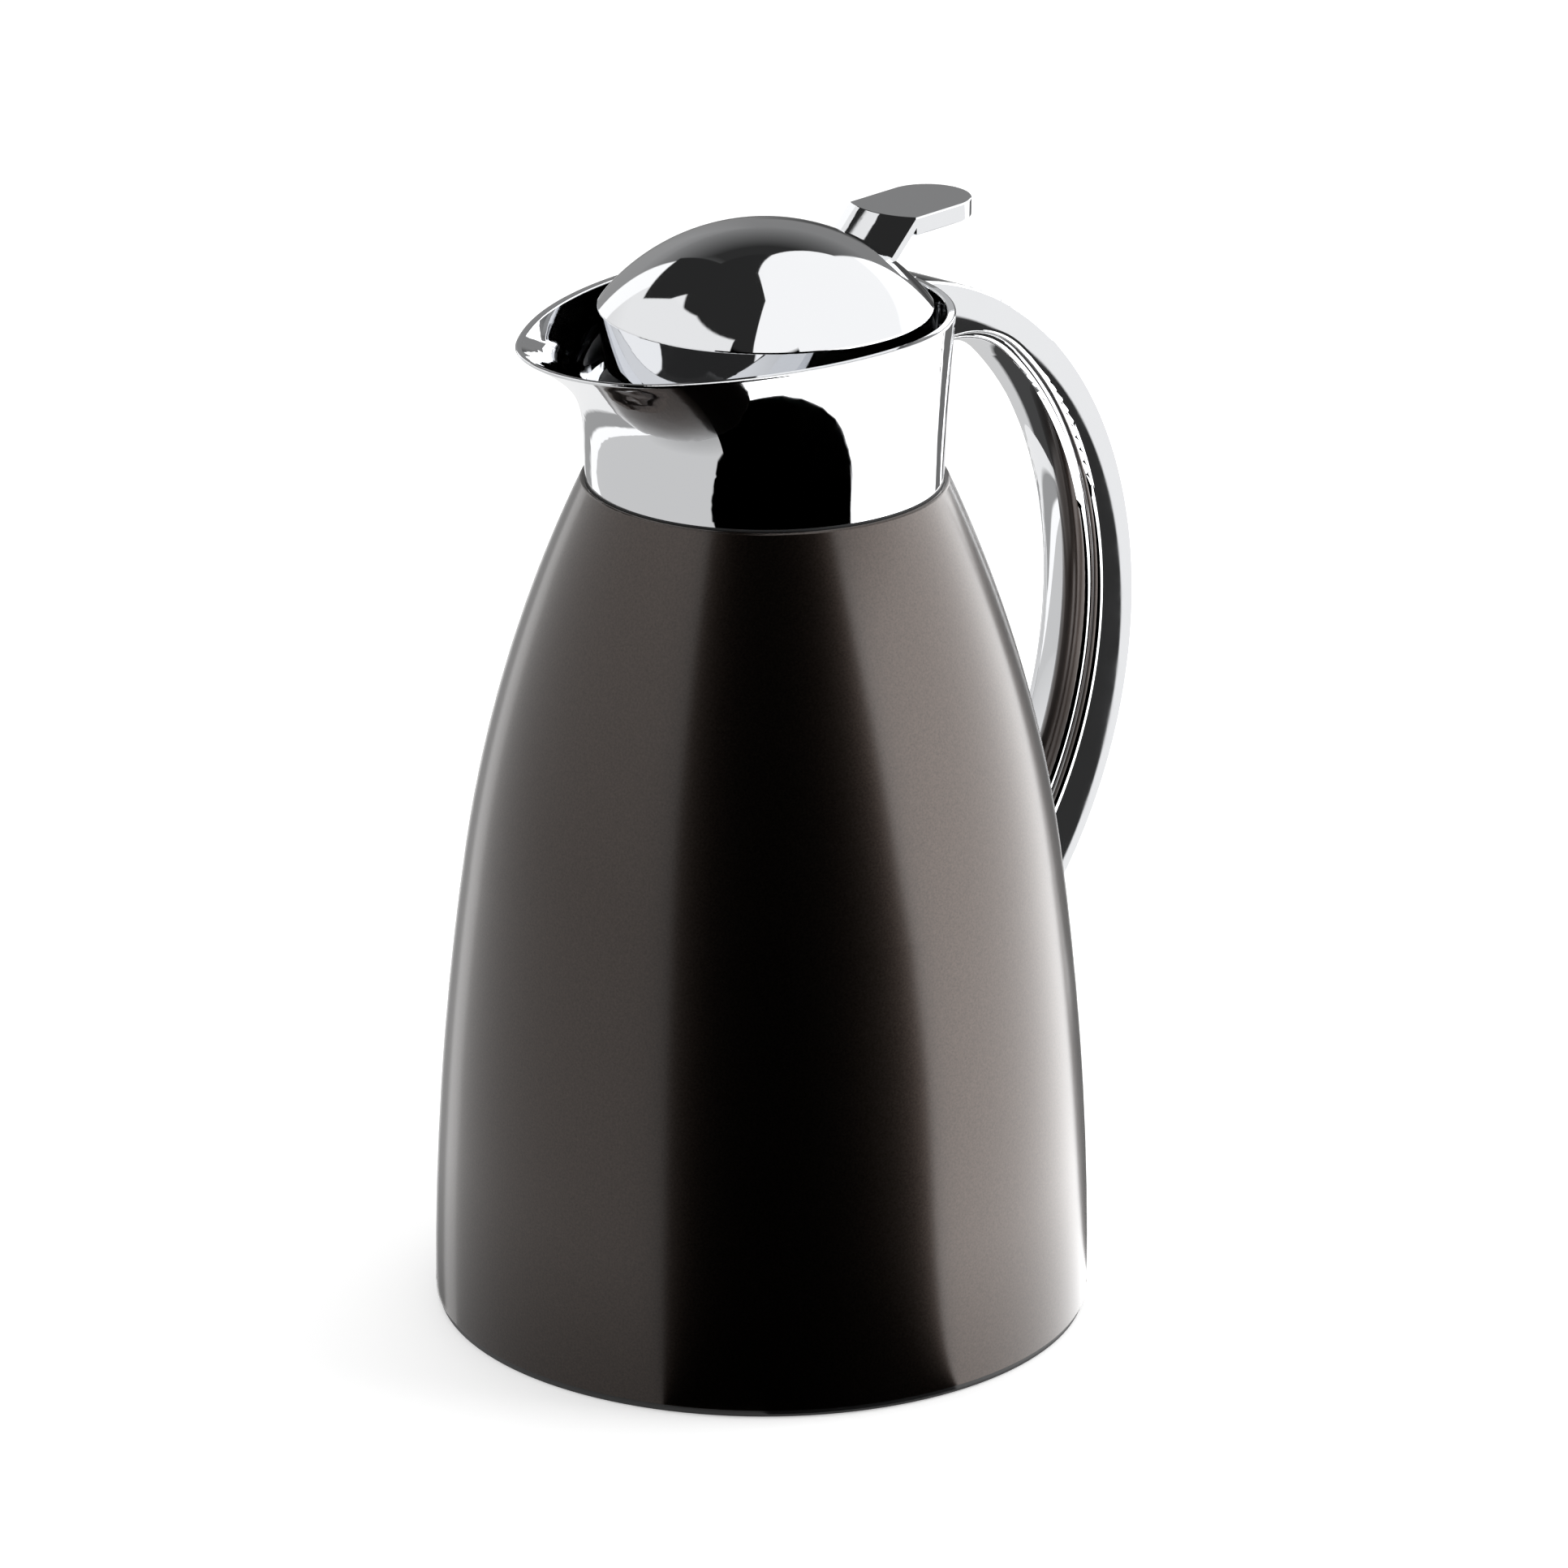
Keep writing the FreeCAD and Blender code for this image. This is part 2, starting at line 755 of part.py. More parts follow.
lug_reach = d.knuckle_width + 2 * d.side_play
lug_span = lug_reach + 2 * d.lug_width
knuckle_top = hinge_z + d.knuckle_radius
knuckle_low = hinge_z - d.knuckle_radius
wall_x = rim_radius - d.collar_wall * 0.5
lugs = outline(new_sketch(collar, "lug_profile"), [
    (hinge_x, knuckle_low),
    (wall_x, knuckle_low - d.lug_width),
    (wall_x, knuckle_top),
    (hinge_x, knuckle_top, d.knuckle_radius, 1),
    (hinge_x - d.knuckle_radius, hinge_z, d.knuckle_radius, 1),
])
across(collar, "lugs", lugs, lug_span)
between = outline(new_sketch(collar, "lug_gap_profile"), [
    (notch_x, knuckle_low - 2 * d.lug_width),
    (rim_radius - d.collar_wall, knuckle_low - 2 * d.lug_width),
    (rim_radius - d.collar_wall, knuckle_top + d.lug_width),
    (notch_x, knuckle_top + d.lug_width),
])
across(collar, "lug_gap", between, lug_reach, "Pocket")
pin_bore = d.pin_radius + d.pin_play
pin_hole = ring_outline(new_sketch(collar, "pin_hole_profile"), hinge_x, hinge_z, pin_bore)
across(collar, "pin_hole", pin_hole, lug_span + d.side_play, "Pocket")

pins = []
for side in (-1, 1):
    pin = doc.addObject("Part::Cylinder", "pin_%s" % ("right" if side < 0 else "left"))
    bind(pin, "Radius", d.pin_radius)
    bind(pin, "Height", d.pin_length)
    start = lug_span * 0.5 - d.pin_length if side > 0 else lug_span * -0.5
    pin.Placement = FreeCAD.Placement(
        FreeCAD.Vector(hinge_x.value, start.value, hinge_z.value),
        FreeCAD.Rotation(FreeCAD.Vector(1, 0, 0), -90))
    bind(pin, "Placement.Base.x", hinge_x)
    bind(pin, "Placement.Base.y", start)
    bind(pin, "Placement.Base.z", hinge_z)
    pins.append(pin)
compound("hinge_pins", pins)

# Lid

dome_arc = (lid_radius * lid_radius + d.dome_rise * d.dome_rise) / (2 * d.dome_rise)
dome_centre = lid_edge + d.dome_rise - dome_arc
dome_arc_in = dome_arc - d.dome_wall
skirt_out = lid_radius - d.skirt_taper
skirt_in = skirt_out - d.dome_wall
dome_in = lid_radius - d.dome_wall
dome_in_level = dome_centre + root(dome_arc_in * dome_arc_in - dome_in * dome_in)
dome = new_body("lid_dome")
dome_turn = turned(dome, "dome_turn", [
    (0, dome_centre + dome_arc_in, dome_arc_in, -1),
    (dome_in, dome_in_level),
    (skirt_in, skirt_foot),
    (skirt_out, skirt_foot),
    (lid_radius, lid_edge, dome_arc, 1),
    (0, lid_edge + d.dome_rise),
])
rounded(dome, "lid_edge_rounds", dome_turn, edges_at(dome_turn, lid_edge, lid_radius), d.lid_edge_round)
notch_profile = outline(new_sketch(dome, "notch_profile"), [
    (notch_x, skirt_foot - d.cut_over),
    (lid_radius + d.cut_over, skirt_foot - d.cut_over),
    (lid_radius + d.cut_over, lid_edge + d.dome_rise * 0.5),
    (notch_x, lid_edge + d.dome_rise * 0.5),
])
across(dome, "notch", notch_profile, d.notch_width, "Pocket")

base = new_body("lid_base")
floor_top = skirt_foot + d.lid_floor
floor_radius = skirt_in - d.seat_gap
turned(base, "lid_floor_turn", [
    (0, skirt_foot),
    (floor_radius, skirt_foot),
    (floor_radius, floor_top),
    (0, floor_top),
])
trim = outline(new_sketch(base, "floor_trim_profile"), [
    (notch_x, skirt_foot - d.cut_over),
    (lid_radius + d.cut_over, skirt_foot - d.cut_over),
    (lid_radius + d.cut_over, floor_top + d.cut_over),
    (notch_x, floor_top + d.cut_over),
])
across(base, "floor_trim", trim, d.notch_width, "Pocket")
arm_x = notch_x - d.knuckle_radius * 2
arm = outline(new_sketch(base, "arm_profile"), [
    (arm_x, skirt_foot),
    (notch_x, skirt_foot),
    (hinge_x, knuckle_low, d.knuckle_radius, 1),
    (hinge_x + d.knuckle_radius, hinge_z, d.knuckle_radius, 1),
    (hinge_x, knuckle_top),
    (arm_x, knuckle_top),
])
across(base, "arm", arm, d.knuckle_width)
knuckle_bore = ring_outline(new_sketch(base, "knuckle_bore_profile"), hinge_x, hinge_z, pin_bore)
across(base, "knuckle_bore", knuckle_bore, d.knuckle_width + d.side_play, "Pocket")

# Plug, its foam and seal

seal_top = skirt_foot - d.plug_flange
slope = (funnel_high[1] - funnel_low[1]) / (funnel_high[0] - funnel_low[0])


def over_funnel(radius):
    return funnel_low[1] + (radius - funnel_low[0]) * slope + d.seal_play


stem_foot = over_funnel(plug_stem_radius)
plug = new_body("lid_plug")
foam_radius = plug_radius - d.plug_wall
foam_tip = plug_tip_radius - d.plug_wall
foam_low = plug_tip + d.plug_wall
turned(plug, "plug_turn", [
    (0, plug_tip),
    (plug_tip_radius, plug_tip),
    (plug_radius, stem_foot),
    (plug_stem_radius, stem_foot),
    (plug_stem_radius, seal_top),
    (plug_top_radius, seal_top),
    (plug_top_radius, skirt_foot),
    (foam_radius, skirt_foot),
    (foam_radius, stem_foot),
    (foam_tip, foam_low),
    (0, foam_low),
])

foam = new_body("lid_foam")
turned(foam, "foam_turn", [
    (0, foam_low),
    (foam_tip - d.seat_gap, foam_low),
    (foam_radius - d.seat_gap, stem_foot),
    (foam_radius - d.seat_gap, skirt_foot),
    (0, skirt_foot),
])

seal = new_body("plug_seal")
seal_in = plug_stem_radius + d.seat_gap
seal_out = plug_stem_radius + d.seal_width
turned(seal, "seal_turn", [
    (seal_in, over_funnel(seal_in)),
    (seal_out, over_funnel(seal_out)),
    (seal_out, seal_top),
    (seal_in, seal_top),
])


def pan_screw(radius, head_radius, head, length, play):
    """Half outline of a screw as (way along, way across) pairs, the head before zero."""
    return [(-head, 0), (-head, head_radius + play), (0, head_radius + play), (0, radius + play),
            (length + play, radius + play), (length + play, 0)]


lid_screw = [(out, -1 * way) for way, out in pan_screw(
    d.small_screw_radius, d.small_head_radius, d.small_head, d.lid_floor + d.lid_screw_bite, 0)]
lid_screws = []
for turn in range(3):
    screw = new_body("lid_screw_%d" % (turn + 1))
    turned(screw, "lid_screw_turn_%d" % (turn + 1), lid_screw)
    angle = 120 * turn + 60
    upright = FreeCAD.Rotation(FreeCAD.Vector(0, 0, 1), angle)
    screw.Placement = FreeCAD.Placement(FreeCAD.Vector(0, 0, 0), upright)
    bind(screw, "Placement.Base.x", lid_screw_circle * math.cos(math.radians(angle)))
    bind(screw, "Placement.Base.y", lid_screw_circle * math.sin(math.radians(angle)))
    bind(screw, "Placement.Base.z", floor_top)
    lid_screws.append(screw)
compound("lid_screws", lid_screws)


def screw_circle(body, name, low_end, high_end):
    """Three holes of the lid screws, cut from the low to the high level."""
    radius = d.small_screw_radius + d.screw_play
    holes = new_sketch(body, name + "_profile", "XY_Plane", low_end)
    for turn in range(3):
        angle = math.radians(120 * turn + 60)
        x = lid_screw_circle * math.cos(angle)
        y = lid_screw_circle * math.sin(angle)
        ring_outline(holes, x, y, radius)
    cut = feature(body, "Pocket", name, holes)
    cut.Reversed = True
    cut.Length = (high_end - low_end).value
    bind(cut, "Length", high_end - low_end)


screw_circle(base, "floor_holes", skirt_foot - d.cut_over, floor_top + d.cut_over)
screw_circle(plug, "plug_holes", skirt_foot - d.lid_screw_bite - d.screw_play, skirt_foot + d.cut_over)

# Lever: a flat pad on a leaning stem that stands on the dome, held by two screws from inside

lean = (cosine(d.lever_angle), sine(d.lever_angle))
lever = new_body("lever")
end_centre = lever_end - d.lever_half_width
arc_depth = d.lever_front_radius - root(
    d.lever_front_radius * d.lever_front_radius - d.lever_half_width * d.lever_half_width)
front_side = lever_front + arc_depth
pad_sketch = outline(new_sketch(lever, "lever_pad_profile", "XY_Plane", lever_top), [
    (front_side, d.lever_half_width, d.lever_front_radius, 1),
    (front_side, -d.lever_half_width),
    (end_centre, -d.lever_half_width, d.lever_half_width, 1),
    (lever_end, 0, d.lever_half_width, 1),
    (end_centre, d.lever_half_width),
])
pad = feature(lever, "Pad", "lever_pad", pad_sketch)
pad.Reversed = True
bind(pad, "Length", d.lever_thickness)
stem_back = lever_front + d.lever_stem
stem_sketch = outline(new_sketch(lever, "lever_stem_profile", "XY_Plane", lever_top), [
    (front_side, d.lever_half_width, d.lever_front_radius, 1),
    (front_side, -d.lever_half_width),
    (stem_back, -d.lever_half_width),
    (stem_back, d.lever_half_width),
])
stem = feature(lever, "Pad", "lever_stem", stem_sketch)
stem.UseCustomVector = True
stem.Direction = FreeCAD.Vector(-lean[0].value, 0, -lean[1].value)
bind(stem, "Direction.x", -lean[0])
bind(stem, "Direction.z", -lean[1])
stem.AlongSketchNormal = False
bind(stem, "Length", d.lever_rise / lean[1])
seat_arc = dome_arc + d.seat_gap
seat_up = lid_edge - dome_centre
lever_cut = turned(lever, "lever_seat", [
    (0, skirt_foot),
    (lever_end, skirt_foot),
    (lever_end, lid_edge),
    (root(seat_arc * seat_arc - seat_up * seat_up), lid_edge, seat_arc, 1),
    (0, dome_centre + seat_arc),
], "Groove")
pad_edges = edges_at(lever_cut, lever_top) + edges_at(lever_cut, lever_top - d.lever_thickness)
rounded(lever, "lever_rounds", lever_cut, pad_edges, d.lever_round)


def lever_screw_line(side):
    """Start, head level along the stem and offset of one lever screw."""
    out = d.lever_screw_spread
    front = lever_front + d.lever_front_radius - root(d.lever_front_radius * d.lever_front_radius - out * out)
    x = (front + stem_back) * 0.5
    up = lever_top - dome_centre
    near = x * lean[0] + up * lean[1]
    rest = x * x + out * out + up * up - dome_arc_in * dome_arc_in
    head = near - root(near * near - rest) - d.dome_wall * 0.25
    return (x, lever_top), head, out * side


def lever_screw_turn(body, name, side, play, kind):
    start, head, offset = lever_screw_line(side)
    pairs = pan_screw(d.small_screw_radius, d.small_head_radius, d.small_head,
                      d.dome_wall + d.lever_screw_bite, play)
    corners = along(start, lean, [(head - way, out) for way, out in pairs])
    turned_about(body, name, corners[0], corners[-1], corners, kind, offset)


lever_screws = []
for number, side in ((1, -1), (2, 1)):
    screw = new_body("lever_screw_%d" % number)
    lever_screw_turn(screw, "lever_screw_turn_%d" % number, side, 0, "Revolution")
    lever_screws.append(screw)
    lever_screw_turn(lever, "lever_hole_%d" % number, side, d.screw_play, "Groove")
    lever_screw_turn(dome, "dome_hole_%d" % number, side, d.screw_play, "Groove")
compound("lever_screws", lever_screws)

# Handle: outer spine and inner grip, both trimmed to the shell and the collar


spine_x = d.handle_reach - d.handle_bend_radius
handle_level = rim_height - d.handle_drop - root(
    d.handle_bend_radius * d.handle_bend_radius - (rim_radius - spine_x) * (rim_radius - spine_x))
grip_bend = d.handle_bend_radius - d.grip_bend_step
grip_x = d.handle_reach - d.spine_depth - grip_bend
grip_level = handle_level + d.grip_lift
grip_root = rim_height - d.root_depth
shoulder_z = grip_root - d.grip_shoulder_radius
shoulder_out = grip_bend - d.grip_shoulder_radius
shoulder_up = shoulder_z - grip_level
shoulder_x = grip_x + root(shoulder_out * shoulder_out - shoulder_up * shoulder_up)
root_x = flange_radius - d.handle_bite
foot_x = d.base_radius - d.handle_bite


def ring_level(centre_x, centre_z, radius, x, sign):
    """Level of a ring's upper (1) or lower (-1) half at a given way out."""
    out = x - centre_x
    return centre_z + root(radius * radius - out * out) * sign


def spine_point(x, sign):
    return x, ring_level(spine_x, handle_level, d.handle_bend_radius, x, sign)


def grip_side(depth):
    """Top, joint and foot of a line that runs along the grip at a depth, with its two radii."""
    bend = grip_bend + depth
    shoulder = d.grip_shoulder_radius + depth
    top_end = (shoulder_x, shoulder_z + shoulder)
    share = bend / shoulder_out
    joint = (grip_x + (shoulder_x - grip_x) * share, grip_level + shoulder_up * share)
    foot_end = (foot_x, ring_level(grip_x, grip_level, bend, foot_x, -1))
    return top_end, joint, foot_end, shoulder, bend


def trim_ends(body, name):
    """Cuts away what reaches into the shell and the collar."""
    gap = d.seat_gap
    low, mid, top, low_arc, high_arc = shell_side(-gap, d.shell_lift, d.neck_radius + gap, d.shell_height)
    turned(body, name, [
        (0, d.shell_lift),
        low + (low_arc, 1),
        mid + (high_arc, 1),
        top,
        (rear_radius(grip_root) + gap, d.shell_height),
        (rear_radius(grip_root) + gap, grip_root),
        (rim_radius + gap, rim_height),
        (rim_radius + gap, lever_top),
        (0, lever_top),
    ], "Groove")


def long_edges(solid, width, radii):
    """Names of the edges on both flanks that bend with one of the radii."""
    names = []
    for number, edge in enumerate(solid.Shape.Edges, 1):
        flat = abs(abs(edge.CenterOfMass.y) - width.value / 2) < 0.01
        bent = isinstance(edge.Curve, Part.Circle)
        if flat and bent and any(abs(edge.Curve.Radius - r.value) < 0.01 for r in radii):
            names.append("Edge%d" % number)
    return names


part_top, part_joint, part_foot, part_shoulder, part_arc = grip_side(d.grip_depth)
spine = new_body("handle_outer")
spine_sketch = outline(new_sketch(spine, "spine_profile"), [
    (root_x, part_top[1]),
    part_top + (part_shoulder, -1),
    part_joint + (part_arc, -1),
    part_foot,
    spine_point(foot_x, -1) + (d.handle_bend_radius, 1),
    spine_point(root_x, 1),
])
spine_pad = across(spine, "spine", spine_sketch, d.handle_width)
doc.recompute()
spine_edges = rounded(spine, "spine_round", spine_pad,
                      long_edges(spine_pad, d.handle_width, (d.handle_bend_radius,)), d.handle_round)
doc.recompute()
rounded(spine, "ledge_round", spine_edges,
        long_edges(spine_edges, d.handle_width, (part_shoulder, part_arc)), d.ledge_round)
trim_ends(spine, "spine_trim")

back_top, back_joint, back_foot, back_shoulder, back_arc = grip_side(d.grip_depth - d.seat_gap)
grip = new_body("handle_inner")
grip_path = outline(new_sketch(grip, "grip_path"), [
    (root_x, back_top[1]),
    back_top + (back_shoulder, -1),
    back_joint + (back_arc, -1),
    back_foot,
], closed=False)
grip_rise = d.grip_depth - d.seat_gap
grip_flat = d.grip_width * 0.5 - d.grip_round
grip_crown = ((grip_flat * grip_flat + grip_rise * grip_rise - d.grip_round * d.grip_round)
              / (2 * (grip_rise - d.grip_round)))
crown_z = grip_root + grip_crown
crown_share = grip_crown / (grip_crown - d.grip_round)
touch_y = grip_flat * crown_share
touch_z = crown_z + (back_top[1] - crown_z) * crown_share
grip_section = outline(new_sketch(grip, "grip_section", "YZ_Plane", root_x), [
    (d.grip_width * -0.5, back_top[1], d.grip_round, 1),
    (touch_y * -1, touch_z, grip_crown, 1),
    (touch_y, touch_z, d.grip_round, 1),
    (d.grip_width * 0.5, back_top[1]),
])
grip_sweep = feature(grip, "AdditivePipe", "grip", grip_section)
grip_sweep.Spine = (grip_path, ["Edge1", "Edge2", "Edge3"])
grip_path.Visibility = False
trim_ends(grip, "grip_trim")

# Handle screws

top_seat = rear_radius(top_screw_level) - d.collar_wall * 0.75
low_screw_level = (spine_point(d.base_radius, -1)[1]
                   + ring_level(grip_x, grip_level, part_arc, d.base_radius, -1)) * 0.5 - d.low_screw_drop
low_seat = shell_radius(inside_shell + d.backing_thickness * 0.9, low_screw_level)


def level_screw(body, name, seat, level, length, play, kind):
    """Turns or cuts a screw that lies along X with its head's underside at the seat."""
    pairs = pan_screw(d.screw_radius, d.screw_head_radius, d.screw_head, length, play)
    corners = [(seat + way, level + out) for way, out in pairs]
    turned_about(body, name, corners[0], corners[-1], corners, kind)


top_screw = new_body("handle_top_screw")
level_screw(top_screw, "top_screw", top_seat, top_screw_level, d.top_screw_length, 0, "Revolution")
for body in (collar, spine):
    level_screw(body, body.Label + "_top_hole", top_seat, top_screw_level, d.top_screw_length,
                d.screw_play, "Groove")

backing = new_body("handle_backing_plate")
backing_low = low_screw_level - d.backing_height * 0.5
backing_high = low_screw_level + d.backing_height * 0.5
deep = inside_shell + d.backing_thickness
turned(backing, "backing_turn", [
    (shell_radius(deep, backing_low), backing_low),
    (shell_radius(inside_shell, backing_low), backing_low),
    (shell_radius(inside_shell, backing_high), backing_high),
    (shell_radius(deep, backing_high), backing_high),
], angle=d.backing_angle)

low_screw = new_body("handle_bottom_screw")
level_screw(low_screw, "low_screw", low_seat, low_screw_level, d.low_screw_length, 0, "Revolution")
for body in (backing, shell, spine):
    level_screw(body, body.Label + "_low_hole", low_seat, low_screw_level, d.low_screw_length,
                d.screw_play, "Groove")

# Checks and files

NODES = (
    "body_shell", "foot_ring", "base_thread_ring", "base_plate",
    "flask_cushion", "flask_outer", "flask_inner", "flask_spacers", "flask_gasket",
    "pour_ring", "collar", "collar_gasket", "neck_nut",
    "handle_outer", "handle_inner", "handle_top_screw", "handle_bottom_screw", "handle_backing_plate",
    "hinge_pins", "lid_dome", "lid_base", "lid_foam", "lid_plug", "plug_seal", "lid_screws",
    "lever", "lever_screws",
)
doc.recompute()
for thing in doc.Objects:
    if "Invalid" in thing.State or "Error" in thing.State:
        raise RuntimeError(thing.Name + " is in state " + ", ".join(thing.State))
for node in NODES:
    solid = doc.getObjectsByLabel(node)[0].Shape
    if solid.isNull() or not solid.isValid() or not solid.Solids:
        raise RuntimeError(node + " has no valid solid")
os.makedirs("parts", exist_ok=True)
for node in NODES:
    doc.getObjectsByLabel(node)[0].Shape.exportStep("parts/" + node + ".step")
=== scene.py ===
"""Coffee carafe: the finishes of its pieces, and the studio and camera that show it.

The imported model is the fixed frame. Each operator finishes one group of pieces, and the last one sets the stage.
Lengths are metres, +Z is up, the foot stands on Z = 0, the handle is at +X and the spout at -X.
"""

import json
import math

import bpy
import numpy as np
from bpy.props import FloatProperty, FloatVectorProperty, PointerProperty
from mathutils import Matrix, Vector

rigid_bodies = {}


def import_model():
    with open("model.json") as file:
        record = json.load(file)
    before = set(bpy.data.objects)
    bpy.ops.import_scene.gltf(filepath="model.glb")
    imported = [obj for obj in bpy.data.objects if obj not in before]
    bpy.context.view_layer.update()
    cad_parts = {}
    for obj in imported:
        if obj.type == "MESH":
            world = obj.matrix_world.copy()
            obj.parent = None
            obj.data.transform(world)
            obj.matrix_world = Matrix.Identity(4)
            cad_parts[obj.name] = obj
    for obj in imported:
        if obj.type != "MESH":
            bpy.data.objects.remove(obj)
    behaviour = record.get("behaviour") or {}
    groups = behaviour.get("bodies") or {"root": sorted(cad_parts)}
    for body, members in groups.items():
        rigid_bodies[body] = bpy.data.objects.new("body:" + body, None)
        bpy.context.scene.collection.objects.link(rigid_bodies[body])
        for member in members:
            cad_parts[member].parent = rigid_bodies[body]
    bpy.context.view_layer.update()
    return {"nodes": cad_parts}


bl_info = {
    "name": "Coffee carafe",
    "version": (1, 0, 0),
    "blender": (4, 5, 0),
    "location": "View3D > Sidebar > Carafe",
    "description": "Finishes a coffee carafe with a hinged lid and sets it in a plain studio",
    "category": "Object",
}

for stray in list(bpy.data.objects):
    bpy.data.objects.remove(stray)
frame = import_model()
NODES = frame["nodes"]
MM = 0.001
MIDDLE = Vector((0, 0, 0.110))  # the point of the carafe that lamps and camera aim at
ALL_ROUND = np.linspace(-180, 180, 721)  # azimuths of the tent's columns, in degrees
FLOOR_DROP, SKIRT_LIFT, BACK_LIFT = -0.3 * MM, 0.5 * MM, 0.6 * MM  # apart, so that no flat faces coincide


# Colours, nodes and meshes


def linear(code):
    """A colour written as an sRGB hex value, as linear red, green, blue and a full alpha."""
    parts = [int(code[i:i + 2], 16) / 255 for i in (1, 3, 5)]
    return tuple(c / 12.92 if c <= 0.04045 else ((c + 0.055) / 1.055) ** 2.4 for c in parts) + (1.0,)


def scaled(colour, factor):
    """A linear colour made lighter or darker by a factor, with a full alpha."""
    return tuple(min(1.0, c * factor) for c in colour[:3]) + (1.0,)


def add(tree, kind, inputs=None, **settings):
    """Adds a node, sets its settings, and sets or links its inputs, which are named or numbered."""
    node = tree.nodes.new(kind)
    for name, value in settings.items():
        setattr(node, name, value)
    for key, value in (inputs or {}).items():
        if isinstance(value, bpy.types.NodeSocket):
            tree.links.new(value, node.inputs[key])
        else:
            node.inputs[key].default_value = value
    return node


def new_material(name):
    """An empty node material and its tree."""
    material = bpy.data.materials.new(name)
    material.use_nodes = True
    material.node_tree.nodes.clear()
    return material, material.node_tree


def close_material(tree, shader):
    add(tree, "ShaderNodeOutputMaterial", {"Surface": shader.outputs[0]})


def grains_per_metre(millimetres):
    """Scale of a noise whose grains have this size, in object coordinates."""
    return 1 / (millimetres * MM)


def wear(material, *names):
    """Gives CAD nodes their material."""
    for name in names:
        NODES[name].data.materials.clear()
        NODES[name].data.materials.append(material)


def grid_mesh(name, points, glow=None):
    """A mesh of quads from an array of points, rows by columns, with an optional brightness for each point."""
    rows, columns = points.shape[:2]
    index = np.arange(rows * columns).reshape(rows, columns)
    quads = np.stack([index[:-1, :-1], index[1:, :-1], index[1:, 1:], index[:-1, 1:]], axis=-1).reshape(-1, 4)
    mesh = bpy.data.meshes.new(name)
    mesh.from_pydata(points.reshape(-1, 3).tolist(), [], quads.tolist())
    mesh.polygons.foreach_set("use_smooth", np.ones(len(quads), bool))
    if glow is not None:
        layer = mesh.attributes.new("glow", "FLOAT", "POINT")
        layer.data.foreach_set("value", glow.astype(np.float32).ravel())
    mesh.update()
    made = bpy.data.objects.new(name, mesh)
    bpy.context.scene.collection.objects.link(made)
    return made


# Finishes


def satin_lacquer(finish):
    """Tinted metal-flake lacquer sprayed on steel: dark taupe, flakes that sparkle a little, and a clear coat that
    gives it a paler edge. Flakes are about 0.05 mm; they are drawn at 0.45 mm so that they show."""
    material, tree = new_material("satin_flake_lacquer")
    place = add(tree, "ShaderNodeTexCoord").outputs["Object"]
    flake = add(tree, "ShaderNodeTexNoise", {"Vector": place, "Scale": grains_per_metre(0.45), "Detail": 2.0})
    cloud = add(tree, "ShaderNodeTexNoise", {"Vector": place, "Scale": grains_per_metre(40), "Detail": 3.0})
    tint = add(tree, "ShaderNodeMix", {
        "Factor": flake.outputs["Fac"], "A": scaled(finish.lacquer, 0.45), "B": scaled(finish.lacquer, 1.6),
    }, data_type="RGBA")
    matt = add(tree, "ShaderNodeMapRange", {
        "Value": cloud.outputs["Fac"], "To Min": finish.lacquer_matt - 0.03, "To Max": finish.lacquer_matt + 0.03})
    grain = add(tree, "ShaderNodeBump", {
        "Strength": 0.25, "Distance": 0.004 * MM, "Height": flake.outputs["Fac"]})
    shader = add(tree, "ShaderNodeBsdfPrincipled", {
        "Base Color": tint.outputs["Result"], "Metallic": 1.0, "Roughness": matt.outputs["Result"],
        "Normal": grain.outputs["Normal"], "Coat Weight": 1.0, "Coat Roughness": 0.16, "Coat IOR": 1.5})
    close_material(tree, shader)
    return material


def polished_chrome(finish):
    """Bright chrome plate on polished zinc: a mirror with a cool tint, faint wipe marks about 9 mm wide and the
    slight unevenness of hand buffing."""
    material, tree = new_material("polished_chrome_plate")
    place = add(tree, "ShaderNodeTexCoord").outputs["Object"]
    wipe = add(tree, "ShaderNodeTexNoise", {"Vector": place, "Scale": grains_per_metre(9), "Detail": 4.0})
    buff = add(tree, "ShaderNodeTexNoise", {"Vector": place, "Scale": grains_per_metre(14), "Detail": 1.0})
    matt = add(tree, "ShaderNodeMapRange", {
        "Value": wipe.outputs["Fac"], "From Min": 0.35, "From Max": 0.7, "To Min": 0.015, "To Max": 0.05})
    wave = add(tree, "ShaderNodeBump", {
        "Strength": 0.3, "Distance": 0.02 * MM, "Height": buff.outputs["Fac"]})
    shader = add(tree, "ShaderNodeBsdfPrincipled", {
        "Base Color": finish.chrome, "Metallic": 1.0, "Roughness": matt.outputs["Result"],
        "Normal": wave.outputs["Normal"]})
    close_material(tree, shader)
    return material


def moulded_plastic(finish):
    """Black ABS moulded against a fine spark-eroded tool: grains of about 0.4 mm and a dull sheen."""
    material, tree = new_material("moulded_black_abs")
    place = add(tree, "ShaderNodeTexCoord").outputs["Object"]
    grain = add(tree, "ShaderNodeTexVoronoi", {"Vector": place, "Scale": grains_per_metre(0.4)})
    cloud = add(tree, "ShaderNodeTexNoise", {"Vector": place, "Scale": grains_per_metre(15), "Detail": 3.0})
    matt = add(tree, "ShaderNodeMapRange", {"Value": cloud.outputs["Fac"], "To Min": 0.38, "To Max": 0.55})
    bump = add(tree, "ShaderNodeBump", {
        "Strength": 0.4, "Distance": 0.03 * MM, "Height": grain.outputs["Distance"]})
    shader = add(tree, "ShaderNodeBsdfPrincipled", {
        "Base Color": finish.plastic, "Roughness": matt.outputs["Result"], "Normal": bump.outputs["Normal"],
        "IOR": 1.53})
    close_material(tree, shader)
    return material


